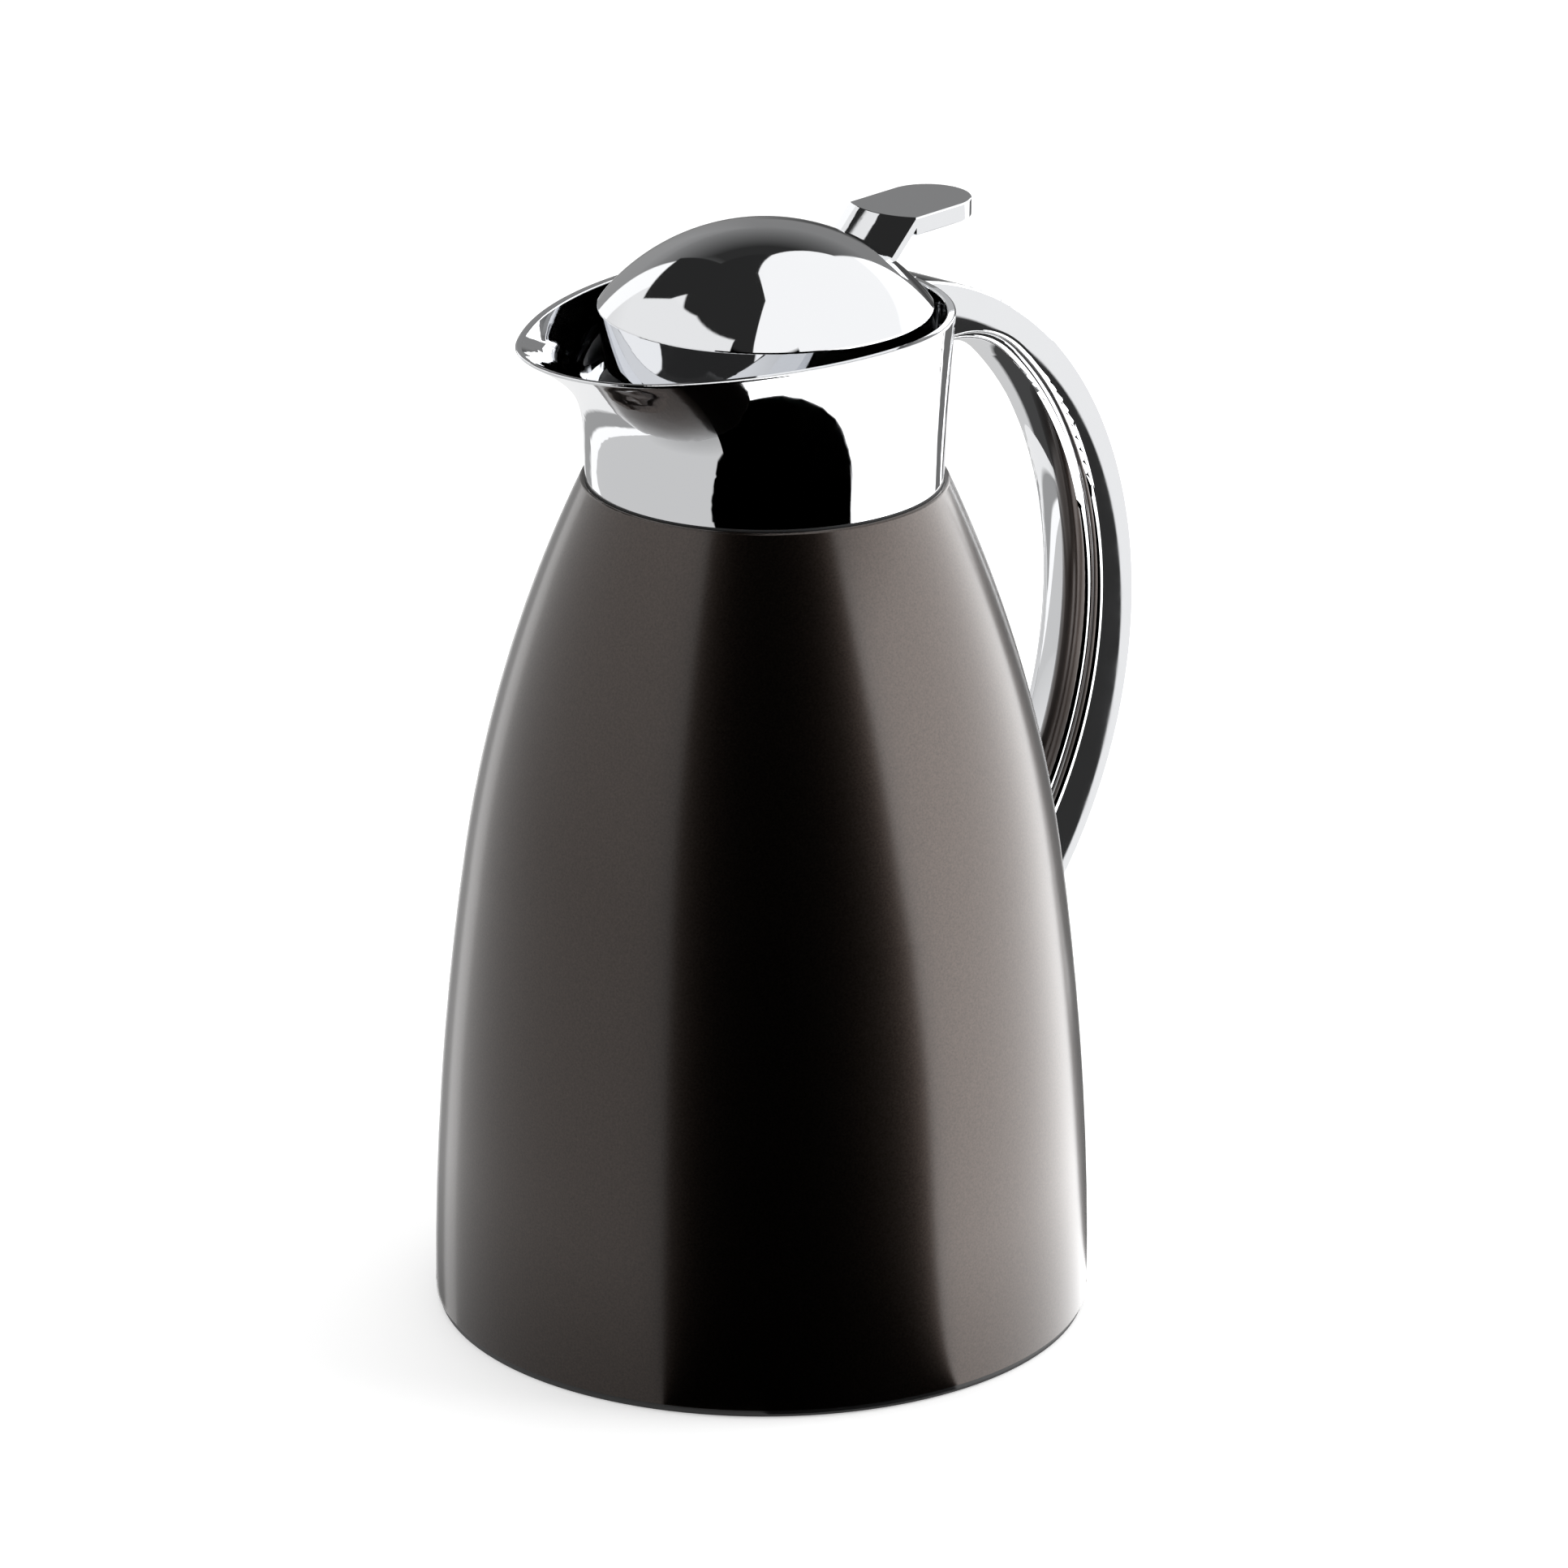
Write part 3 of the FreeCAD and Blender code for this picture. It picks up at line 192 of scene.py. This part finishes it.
def soft_rubber(name, code, grain_size, roughness, through):
    """Moulded rubber or silicone: matt, a little light goes through it, and the tool leaves a fine grain."""
    material, tree = new_material(name)
    place = add(tree, "ShaderNodeTexCoord").outputs["Object"]
    grain = add(tree, "ShaderNodeTexNoise", {"Vector": place, "Scale": grains_per_metre(grain_size), "Detail": 3.0})
    matt = add(tree, "ShaderNodeMapRange", {
        "Value": grain.outputs["Fac"], "To Min": roughness - 0.08, "To Max": roughness + 0.08})
    bump = add(tree, "ShaderNodeBump", {"Strength": 0.3, "Distance": 0.04 * MM, "Height": grain.outputs["Fac"]})
    shader = add(tree, "ShaderNodeBsdfPrincipled", {
        "Base Color": linear(code), "Roughness": matt.outputs["Result"], "Normal": bump.outputs["Normal"],
        "IOR": 1.43, "Subsurface Weight": through, "Subsurface Scale": 1.5 * MM})
    close_material(tree, shader)
    return material


def silvered_glass():
    """Blown glass silvered on its hidden side: a mirror behind a clear smooth layer, with soft blowing waves."""
    material, tree = new_material("silvered_blown_glass")
    place = add(tree, "ShaderNodeTexCoord").outputs["Object"]
    wave = add(tree, "ShaderNodeTexNoise", {"Vector": place, "Scale": grains_per_metre(18), "Detail": 1.0})
    cloud = add(tree, "ShaderNodeTexNoise", {"Vector": place, "Scale": grains_per_metre(30), "Detail": 4.0})
    tint = add(tree, "ShaderNodeMix", {
        "Factor": cloud.outputs["Fac"], "A": linear("#C9CDD0"), "B": linear("#E6E8E8")}, data_type="RGBA")
    bump = add(tree, "ShaderNodeBump", {"Strength": 0.4, "Distance": 0.1 * MM, "Height": wave.outputs["Fac"]})
    shader = add(tree, "ShaderNodeBsdfPrincipled", {
        "Base Color": tint.outputs["Result"], "Metallic": 1.0, "Roughness": 0.06,
        "Normal": bump.outputs["Normal"], "Coat Weight": 1.0, "Coat Roughness": 0.02, "Coat IOR": 1.52})
    close_material(tree, shader)
    return material


def pressed_fibre(name, pale, deep, grain_size):
    """Pressed mineral fibre or cut foam: rough, mottled, with cells or fibres of the given size."""
    material, tree = new_material(name)
    place = add(tree, "ShaderNodeTexCoord").outputs["Object"]
    cell = add(tree, "ShaderNodeTexVoronoi", {"Vector": place, "Scale": grains_per_metre(grain_size)})
    fleck = add(tree, "ShaderNodeTexNoise", {
        "Vector": place, "Scale": grains_per_metre(grain_size * 2), "Detail": 5.0})
    tint = add(tree, "ShaderNodeMix", {
        "Factor": fleck.outputs["Fac"], "A": linear(deep), "B": linear(pale)}, data_type="RGBA")
    bump = add(tree, "ShaderNodeBump", {"Strength": 0.8, "Distance": 0.3 * MM, "Height": cell.outputs["Distance"]})
    shader = add(tree, "ShaderNodeBsdfPrincipled", {
        "Base Color": tint.outputs["Result"], "Roughness": 0.92, "Normal": bump.outputs["Normal"]})
    close_material(tree, shader)
    return material


def turned_steel():
    """Bright zinc-plated steel: pale grey, with fine marks left by rolling and turning."""
    material, tree = new_material("zinc_plated_steel")
    place = add(tree, "ShaderNodeTexCoord").outputs["Object"]
    mark = add(tree, "ShaderNodeTexNoise", {"Vector": place, "Scale": grains_per_metre(0.6), "Detail": 4.0})
    matt = add(tree, "ShaderNodeMapRange", {"Value": mark.outputs["Fac"], "To Min": 0.22, "To Max": 0.42})
    bump = add(tree, "ShaderNodeBump", {"Strength": 0.3, "Distance": 0.01 * MM, "Height": mark.outputs["Fac"]})
    shader = add(tree, "ShaderNodeBsdfPrincipled", {
        "Base Color": linear("#C4C6C8"), "Metallic": 1.0, "Roughness": matt.outputs["Result"],
        "Normal": bump.outputs["Normal"]})
    close_material(tree, shader)
    return material


def pale_floor(stage):
    """Matt white paint. A camera, a mirror and glass see it as the white of the backdrop, less the shadow on it."""
    material, tree = new_material("matt_white_paint")
    seen = sees_backdrop(tree)
    place = add(tree, "ShaderNodeTexCoord").outputs["Object"]
    speck = add(tree, "ShaderNodeTexNoise", {"Vector": place, "Scale": grains_per_metre(3), "Detail": 2.0})
    tint = add(tree, "ShaderNodeMix", {
        "Factor": speck.outputs["Fac"], "A": scaled(stage.floor, 0.98), "B": tuple(stage.floor)}, data_type="RGBA")
    paint = add(tree, "ShaderNodeBsdfDiffuse", {"Color": tint.outputs["Result"]})
    glow = add(tree, "ShaderNodeMath", {0: seen, 1: stage.floor_lift}, operation="MULTIPLY")
    lift = add(tree, "ShaderNodeEmission", {"Strength": glow.outputs[0]})
    both = add(tree, "ShaderNodeAddShader", {0: paint.outputs[0], 1: lift.outputs[0]})
    close_material(tree, both)
    return material


def tent_cloth():
    """The lit cloth of the light tent. Its brightness is the mesh's own glow attribute."""
    material, tree = new_material("light_tent_cloth")
    glow = add(tree, "ShaderNodeAttribute", attribute_name="glow")
    close_material(tree, add(tree, "ShaderNodeEmission", {"Strength": glow.outputs["Fac"]}))
    return material


def sees_backdrop(tree):
    """One for camera, glossy and transmission rays, and zero for the rays that light the object."""
    path = add(tree, "ShaderNodeLightPath")
    first = add(tree, "ShaderNodeMath", {
        0: path.outputs["Is Camera Ray"], 1: path.outputs["Is Glossy Ray"]}, operation="MAXIMUM")
    both = add(tree, "ShaderNodeMath", {
        0: first.outputs[0], 1: path.outputs["Is Transmission Ray"]}, operation="MAXIMUM")
    return both.outputs[0]


# Studio


def view_axes(stage):
    """Unit vectors from the object to the camera, to the picture's right and to its top."""
    turn, lift = stage.camera_turn, stage.camera_lift
    back = Vector((math.sin(turn) * math.cos(lift), -math.cos(turn) * math.cos(lift), math.sin(lift)))
    right = Vector((math.cos(turn), math.sin(turn), 0))
    return back, right, back.cross(right)


def tent_glow(azimuth, elevation):
    """Brightness of the light tent in a direction, in degrees: azimuth 0 is the camera and 90 the picture's right.
    Panels are hung one over the other; each covers what lies between its edges, with edges a little soft."""
    plain, black, unlit = 0.9, 0.022, 0.0
    glow = np.full_like(azimuth, plain)

    def counted_from(centre):
        return (azimuth - centre + 180) % 360 - 180

    def panel(level, left, right, low=-95, high=95, soft=1.0, angle=azimuth):
        past = np.maximum.reduce(np.broadcast_arrays(
            left - angle, angle - right, low - elevation, elevation - high))
        cover = np.clip(0.5 - past / soft, 0, 1)
        return glow * (1 - cover) + level * cover

    # A grey cloth behind the carafe: paler low on one half, darker low on the other, and nearly black high up
    behind, half, foot = counted_from(180), 34, -9
    glow = panel(0.23, -half, half, low=foot, soft=6, angle=behind)
    glow = panel(0.30, 7, half, low=foot, high=24, soft=10, angle=behind)
    glow = panel(0.07, -half, -1, low=foot, high=8, soft=5, angle=behind)
    glow = panel(0.028, -half, half, low=38, soft=24, angle=behind)

    # Black cloths high on the left
    glow = panel(black, -190, -10, low=57)
    glow = panel(black, -154, -120, low=36)

    # The key panel on the right: bright low down, white above that, and wider towards the top
    from_key = counted_from(84)
    key_level = np.interp(elevation, (20, 34), (2.6, 1.03))
    key_edge = np.interp(elevation, (42, 50, 58, 72), (72, 82, 93, 104))
    glow = panel(key_level, -64, key_edge, angle=from_key)
    glow = panel(key_level, -96, key_edge, low=62, angle=from_key)

    # The fill panel on the left, paler upwards and lower towards the back, with a white strip beside it
    fill_back, fill_front, strip_top = -138, -34, 36
    fill_top = np.interp(azimuth, (fill_back, -131, -118, -90, fill_front), (strip_top, strip_top, 53, 62, 65))
    fill_level = 0.62 + 0.26 * np.clip((elevation + 5) / 35, 0, 1)
    glow = panel(fill_level, fill_back, fill_front, high=fill_top)
    glow = panel(1.1, -152, fill_back, high=strip_top)

    # Grey strips on the floor behind, one on the left and one on the right
    glow = panel(0.35, -168, -152, high=0, soft=3)
    glow = panel(0.16, 144, 168, high=0, soft=3)

    # The unlit opening in front, with a leaning right edge
    return panel(unlit, fill_front, 60.5 - (elevation + 20) / 3, high=62)


def directions(azimuth, elevation, stage):
    """Unit vectors for azimuths from the camera and elevations: a turn about the upright and a lift from level."""
    back, right, _ = view_axes(stage)
    level = np.array((back.x, back.y, 0)) / math.hypot(back.x, back.y)
    flat = np.cos(azimuth)[..., None] * level + np.sin(azimuth)[..., None] * np.array(right)
    return flat * np.cos(elevation)[..., None] + np.sin(elevation)[..., None] * np.array((0, 0, 1))


def tent_wall(stage):
    """Half a sphere round the object: each point is the direction of its azimuth and elevation times the radius."""
    azimuth, elevation = np.meshgrid(ALL_ROUND, np.linspace(0, 90, 181))
    points = directions(np.radians(azimuth), np.radians(elevation), stage) * stage.tent_radius
    return grid_mesh("tent_wall", points, tent_glow(azimuth, elevation))


def tent_skirt(stage):
    """The tent's floor: each line of it starts on a circle under the foot, at half its azimuth, and runs outwards
    along its azimuth, so that the round housing mirrors nearly straight bands down to the foot. It starts further in
    on the right. Its panels are those that a point on the housing sees below it, and near the foot its glow is
    painted darker, as a painted shadow of the carafe."""
    seen_from, nearest, shade_reach, shade = 0.14, 0.38, 0.1, 0.6
    azimuth, share = np.meshgrid(ALL_ROUND, np.linspace(0, 1, 25))
    level = np.zeros_like(azimuth)
    inner = stage.skirt_radius * np.interp(azimuth, (0, 30), (1, 0.8))
    start = directions(np.radians(azimuth) / 2, level, stage) * inner[..., None]
    reach = share * stage.tent_radius
    points = start + directions(np.radians(azimuth), level, stage) * reach[..., None]
    points[..., 2] = SKIRT_LIFT
    elevation = -np.degrees(np.arctan2(seen_from, np.maximum(reach, nearest)))
    # Painted shadow of the carafe: the glow falls to shade times its level at the foot, and is full from shade_reach
    # out
    glow = tent_glow(azimuth, elevation) * np.interp(reach, (0, shade_reach), (shade, 1))
    return grid_mesh("tent_skirt", points, glow)


def tent_back(stage):
    """The tent's floor behind the housing: a straight strip as wide as the foot, out to the tent's wall. Its glow is
    painted dark by the foot, as a painted shadow of the carafe, then pale, and dark again far behind."""
    # The first level, dark by the foot, is a painted shadow of the carafe
    changes, levels = (0.15, 0.18, 0.6, 1.6), (0.06, 0.66, 0.6, 0.12)
    side, reach = np.meshgrid(np.linspace(-1, 1, 9), np.linspace(0, stage.tent_radius, 241))
    level = np.zeros_like(side)
    across = directions(level + math.pi / 2, level, stage) * (side * stage.skirt_radius)[..., None]
    points = across + directions(level + math.pi, level, stage) * reach[..., None]
    points[..., 2] = BACK_LIFT
    return grid_mesh("tent_back", points, np.interp(reach, changes, levels))


def handle_card(stage):
    """A plain card that hangs beside the handle, so that its bright flank stands off the white: a sector of a flat
    upright ring, each point at the cosine and sine of its turn, dark with a pale outer rim."""
    low_end, high_end, dark, pale = -48, 88, 0.03, 0.92
    turn, radius = np.meshgrid(np.radians(np.linspace(low_end, high_end, 69)),
                               np.linspace(stage.card_inner, stage.card_outer, 104))
    centre = stage.card_centre
    points = np.stack([centre[0] + radius * np.cos(turn), np.full_like(turn, centre[1]),
                       centre[2] + radius * np.sin(turn)], axis=-1)
    return grid_mesh("handle_card", points, np.where(radius < stage.card_rim, dark, pale))


def floor_disc(stage):
    """A flat disc: rings of growing radius, each point at the cosine and sine of its turn. It lies a hair below the
    foot, so that the two faces don't coincide."""
    turn, radius = np.meshgrid(np.linspace(0, 2 * math.pi, 129), np.linspace(0, 1, 24) ** 2 * stage.floor_radius)
    points = np.stack([radius * np.cos(turn), radius * np.sin(turn), np.full_like(turn, FLOOR_DROP)], axis=-1)
    return grid_mesh("floor", points[::-1])


def lamp(name, watts, stage, azimuth, elevation, distance, width):
    """A soft square lamp that faces the middle of the carafe."""
    way = directions(np.radians(np.array(azimuth)), np.radians(np.array(elevation)), stage)
    data = bpy.data.lights.new(name, "AREA")
    data.shape = "SQUARE"
    data.size = width
    data.energy = watts
    made = bpy.data.objects.new(name, data)
    bpy.context.scene.collection.objects.link(made)
    made.location = Vector(way) * distance + MIDDLE
    made.rotation_euler = Vector(way).to_track_quat("Z", "Y").to_euler()
    made.visible_glossy = False


def set_camera(stage):
    """A long lens at the photograph's angle, aimed beside the middle of the carafe, so that no shift is needed."""
    back, right, up = view_axes(stage)
    data = bpy.data.cameras.new("camera")
    data.lens = stage.lens
    data.sensor_width = 36
    data.clip_start, data.clip_end = 0.05, 50
    made = bpy.data.objects.new("camera", data)
    bpy.context.scene.collection.objects.link(made)
    roll = Matrix.Rotation(stage.camera_roll, 3, back)
    turned = Matrix((roll @ right, roll @ up, back)).transposed()
    place = MIDDLE + right * stage.aim_right + up * stage.aim_up + back * stage.camera_distance
    made.matrix_world = Matrix.Translation(place) @ turned.to_4x4()
    bpy.context.scene.camera = made


def set_world(stage):
    """White for what is seen straight, in a mirror or through glass, and a softer white as light on the object."""
    world = bpy.data.worlds.new("white_studio")
    world.use_nodes = True
    tree = world.node_tree
    tree.nodes.clear()
    seen = sees_backdrop(tree)
    soft = add(tree, "ShaderNodeBackground", {"Color": linear("#FFFFFF"), "Strength": stage.ambient})
    white = add(tree, "ShaderNodeBackground", {"Color": linear("#FFFFFF"), "Strength": 1.0})
    both = add(tree, "ShaderNodeMixShader", {0: seen, 1: soft.outputs[0], 2: white.outputs[0]})
    add(tree, "ShaderNodeOutputWorld", {"Surface": both.outputs[0]})
    bpy.context.scene.world = world


# Values a user would change


class CarafeFinish(bpy.types.PropertyGroup):
    """Colours and finishes of the carafe."""

    lacquer: FloatVectorProperty(
        name="Lacquer", description="Colour of the flake lacquer on the housing", subtype="COLOR",
        size=4, min=0, max=1, default=linear("#3E3530"))
    lacquer_matt: FloatProperty(
        name="Lacquer roughness", description="How much the lacquer blurs what it mirrors",
        min=0.1, max=0.8, default=0.3, subtype="FACTOR")
    chrome: FloatVectorProperty(
        name="Chrome", description="Tint of the chrome plate", subtype="COLOR",
        size=4, min=0, max=1, default=linear("#F1F2F4"))
    plastic: FloatVectorProperty(
        name="Plastic", description="Colour of the moulded plastic pieces", subtype="COLOR",
        size=4, min=0, max=1, default=linear("#141415"))


class CarafeStage(bpy.types.PropertyGroup):
    """Camera, lamps, tent, card and floor."""

    camera_turn: FloatProperty(
        name="Camera turn", description="Turn of the camera round the upright axis", subtype="ANGLE",
        unit="ROTATION", default=math.radians(-48.5))
    camera_lift: FloatProperty(
        name="Camera lift", description="Height of the camera above the horizon", subtype="ANGLE",
        unit="ROTATION", default=math.radians(20.08))
    camera_roll: FloatProperty(
        name="Camera roll", description="Lean of the picture", subtype="ANGLE",
        unit="ROTATION", default=math.radians(0.3))
    camera_distance: FloatProperty(
        name="Camera distance", description="From the camera to the middle of the carafe", subtype="DISTANCE",
        unit="LENGTH", default=1.75)
    lens: FloatProperty(
        name="Lens", description="Focal length on a 36 mm sensor", subtype="DISTANCE_CAMERA", default=190.47)
    aim_right: FloatProperty(
        name="Aim right", description="Aim to the right of the upright axis", subtype="DISTANCE",
        unit="LENGTH", default=4.32 * MM)
    aim_up: FloatProperty(
        name="Aim up", description="Aim above the middle of the carafe", subtype="DISTANCE",
        unit="LENGTH", default=4.25 * MM)
    floor: FloatVectorProperty(
        name="Floor", description="Colour of the floor", subtype="COLOR", size=4, min=0, max=1,
        default=linear("#EFEFEF"))
    floor_lift: FloatProperty(
        name="Floor lift", description="Share of the backdrop's white that the floor shows of itself",
        min=0, max=1, default=0.45, subtype="FACTOR")
    floor_radius: FloatProperty(
        name="Floor radius", description="Radius of the floor", subtype="DISTANCE", unit="LENGTH", default=6.0)
    tent_radius: FloatProperty(
        name="Tent radius", description="Radius of the light tent", subtype="DISTANCE", unit="LENGTH", default=2.4)
    skirt_radius: FloatProperty(
        name="Skirt radius", description="Where the tent's floor starts", subtype="DISTANCE",
        unit="LENGTH", default=0.0708)
    card_centre: FloatVectorProperty(
        name="Card centre", description="Centre of the round card beside the handle", subtype="XYZ",
        unit="LENGTH", size=3, default=(54 * MM, -35 * MM, 113 * MM))
    card_inner: FloatProperty(
        name="Card inner radius", description="Radius of the card's inner edge", subtype="DISTANCE",
        unit="LENGTH", default=65 * MM)
    card_rim: FloatProperty(
        name="Card rim radius", description="Radius at which the card turns from dark to pale", subtype="DISTANCE",
        unit="LENGTH", default=87 * MM)
    card_outer: FloatProperty(
        name="Card outer radius", description="Radius of the card's outer edge", subtype="DISTANCE",
        unit="LENGTH", default=116 * MM)
    ambient: FloatProperty(
        name="Ambient", description="Strength of the light from all sides", min=0, max=2, default=0.45)
    key_watts: FloatProperty(
        name="Key lamp", description="Power of the lamp on the right", min=0, default=9.0,
        subtype="POWER", unit="POWER")
    fill_watts: FloatProperty(
        name="Fill lamp", description="Power of the lamp on the left", min=0, default=4.0,
        subtype="POWER", unit="POWER")
    top_watts: FloatProperty(
        name="Top lamp", description="Power of the lamp overhead", min=0, default=6.0,
        subtype="POWER", unit="POWER")


# Operators


class CARAFE_OT_housing(bpy.types.Operator):
    """Finish the lacquered housing, its foot and its base"""

    bl_idname = "carafe.housing"
    bl_label = "Housing and base"

    def execute(self, context):
        finish = context.scene.carafe_finish
        wear(satin_lacquer(finish), "body_shell")
        wear(moulded_plastic(finish), "foot_ring", "base_plate", "base_thread_ring", "neck_nut")
        return {"FINISHED"}


class CARAFE_OT_flask(bpy.types.Operator):
    """Finish the glass flask and what it rests on"""

    bl_idname = "carafe.flask"
    bl_label = "Flask"

    def execute(self, context):
        wear(silvered_glass(), "flask_inner", "flask_outer")
        wear(pressed_fibre("pressed_mineral_fibre", "#C9C4B4", "#8F8878", 0.6), "flask_spacers")
        wear(soft_rubber("moulded_black_rubber", "#1B1B1C", 0.5, 0.75, 0.0), "flask_cushion")
        wear(soft_rubber("clear_silicone", "#C8C9C6", 0.6, 0.42, 0.4), "flask_gasket")
        return {"FINISHED"}


class CARAFE_OT_collar(bpy.types.Operator):
    """Finish the spouted collar and the pouring ring inside it"""

    bl_idname = "carafe.collar"
    bl_label = "Collar and spout"

    def execute(self, context):
        finish = context.scene.carafe_finish
        wear(polished_chrome(finish), "collar")
        wear(moulded_plastic(finish), "pour_ring")
        wear(soft_rubber("grey_silicone", "#3A3B3C", 0.6, 0.55, 0.1), "collar_gasket")
        return {"FINISHED"}


class CARAFE_OT_lid(bpy.types.Operator):
    """Finish the domed lid, its plug and its seal"""

    bl_idname = "carafe.lid"
    bl_label = "Lid and plug"

    def execute(self, context):
        finish = context.scene.carafe_finish
        wear(polished_chrome(finish), "lid_dome")
        wear(moulded_plastic(finish), "lid_base", "lid_plug")
        wear(soft_rubber("milky_silicone", "#BFC0BC", 0.6, 0.45, 0.35), "plug_seal")
        wear(pressed_fibre("cut_foam", "#E4E0D2", "#C2BBA6", 0.8), "lid_foam")
        return {"FINISHED"}


class CARAFE_OT_lever(bpy.types.Operator):
    """Finish the thumb lever"""

    bl_idname = "carafe.lever"
    bl_label = "Thumb lever"

    def execute(self, context):
        wear(polished_chrome(context.scene.carafe_finish), "lever")
        return {"FINISHED"}


class CARAFE_OT_handle(bpy.types.Operator):
    """Finish the two halves of the handle"""

    bl_idname = "carafe.handle"
    bl_label = "Handle"

    def execute(self, context):
        wear(polished_chrome(context.scene.carafe_finish), "handle_outer", "handle_inner")
        return {"FINISHED"}


class CARAFE_OT_fasteners(bpy.types.Operator):
    """Finish the screws, the hinge pins and the plate behind the handle"""

    bl_idname = "carafe.fasteners"
    bl_label = "Screws and pins"

    def execute(self, context):
        wear(turned_steel(), "handle_top_screw", "handle_bottom_screw", "handle_backing_plate", "hinge_pins",
             "lid_screws", "lever_screws")
        return {"FINISHED"}


class CARAFE_OT_stage(bpy.types.Operator):
    """Set the floor, the light tent, the lamps, the world and the camera"""

    bl_idname = "carafe.stage"
    bl_label = "Stage"

    def execute(self, context):
        stage = context.scene.carafe_stage
        floor = floor_disc(stage)
        floor.data.materials.append(pale_floor(stage))
        cloth = tent_cloth()
        tent = [tent_wall(stage), tent_skirt(stage), tent_back(stage), handle_card(stage)]
        for part in tent:
            part.data.materials.append(cloth)
            part.visible_camera = False
            part.visible_diffuse = False
            part.visible_transmission = False
            part.visible_volume_scatter = False
            part.visible_shadow = False
        lamp("key_lamp", stage.key_watts, stage, azimuth=95, elevation=38, distance=1.3, width=0.9)
        lamp("fill_lamp", stage.fill_watts, stage, azimuth=-85, elevation=30, distance=1.4, width=0.9)
        lamp("top_lamp", stage.top_watts, stage, azimuth=170, elevation=70, distance=1.4, width=1.0)
        set_world(stage)
        set_camera(stage)
        context.scene.view_settings.view_transform = "Standard"
        return {"FINISHED"}


class CARAFE_PT_panel(bpy.types.Panel):
    """Lists the carafe's values and steps"""

    bl_idname = "CARAFE_PT_panel"
    bl_label = "Coffee carafe"
    bl_space_type = "VIEW_3D"
    bl_region_type = "UI"
    bl_category = "Carafe"

    def draw(self, context):
        for group in (context.scene.carafe_finish, context.scene.carafe_stage):
            box = self.layout.box()
            for name in group.__annotations__:
                box.prop(group, name)
        for step in STEPS:
            self.layout.operator(step.bl_idname)


STEPS = (
    CARAFE_OT_housing, CARAFE_OT_flask, CARAFE_OT_collar, CARAFE_OT_lid, CARAFE_OT_lever, CARAFE_OT_handle,
    CARAFE_OT_fasteners, CARAFE_OT_stage,
)
CLASSES = (CarafeFinish, CarafeStage) + STEPS + (CARAFE_PT_panel,)


def register():
    for kind in CLASSES:
        bpy.utils.register_class(kind)
    bpy.types.Scene.carafe_finish = PointerProperty(type=CarafeFinish)
    bpy.types.Scene.carafe_stage = PointerProperty(type=CarafeStage)


def unregister():
    del bpy.types.Scene.carafe_stage
    del bpy.types.Scene.carafe_finish
    for kind in reversed(CLASSES):
        bpy.utils.unregister_class(kind)


def main():
    register()
    bpy.ops.carafe.housing()
    bpy.ops.carafe.flask()
    bpy.ops.carafe.collar()
    bpy.ops.carafe.lid()
    bpy.ops.carafe.lever()
    bpy.ops.carafe.handle()
    bpy.ops.carafe.fasteners()
    bpy.ops.carafe.stage()


if __name__ == "__main__":
    main()
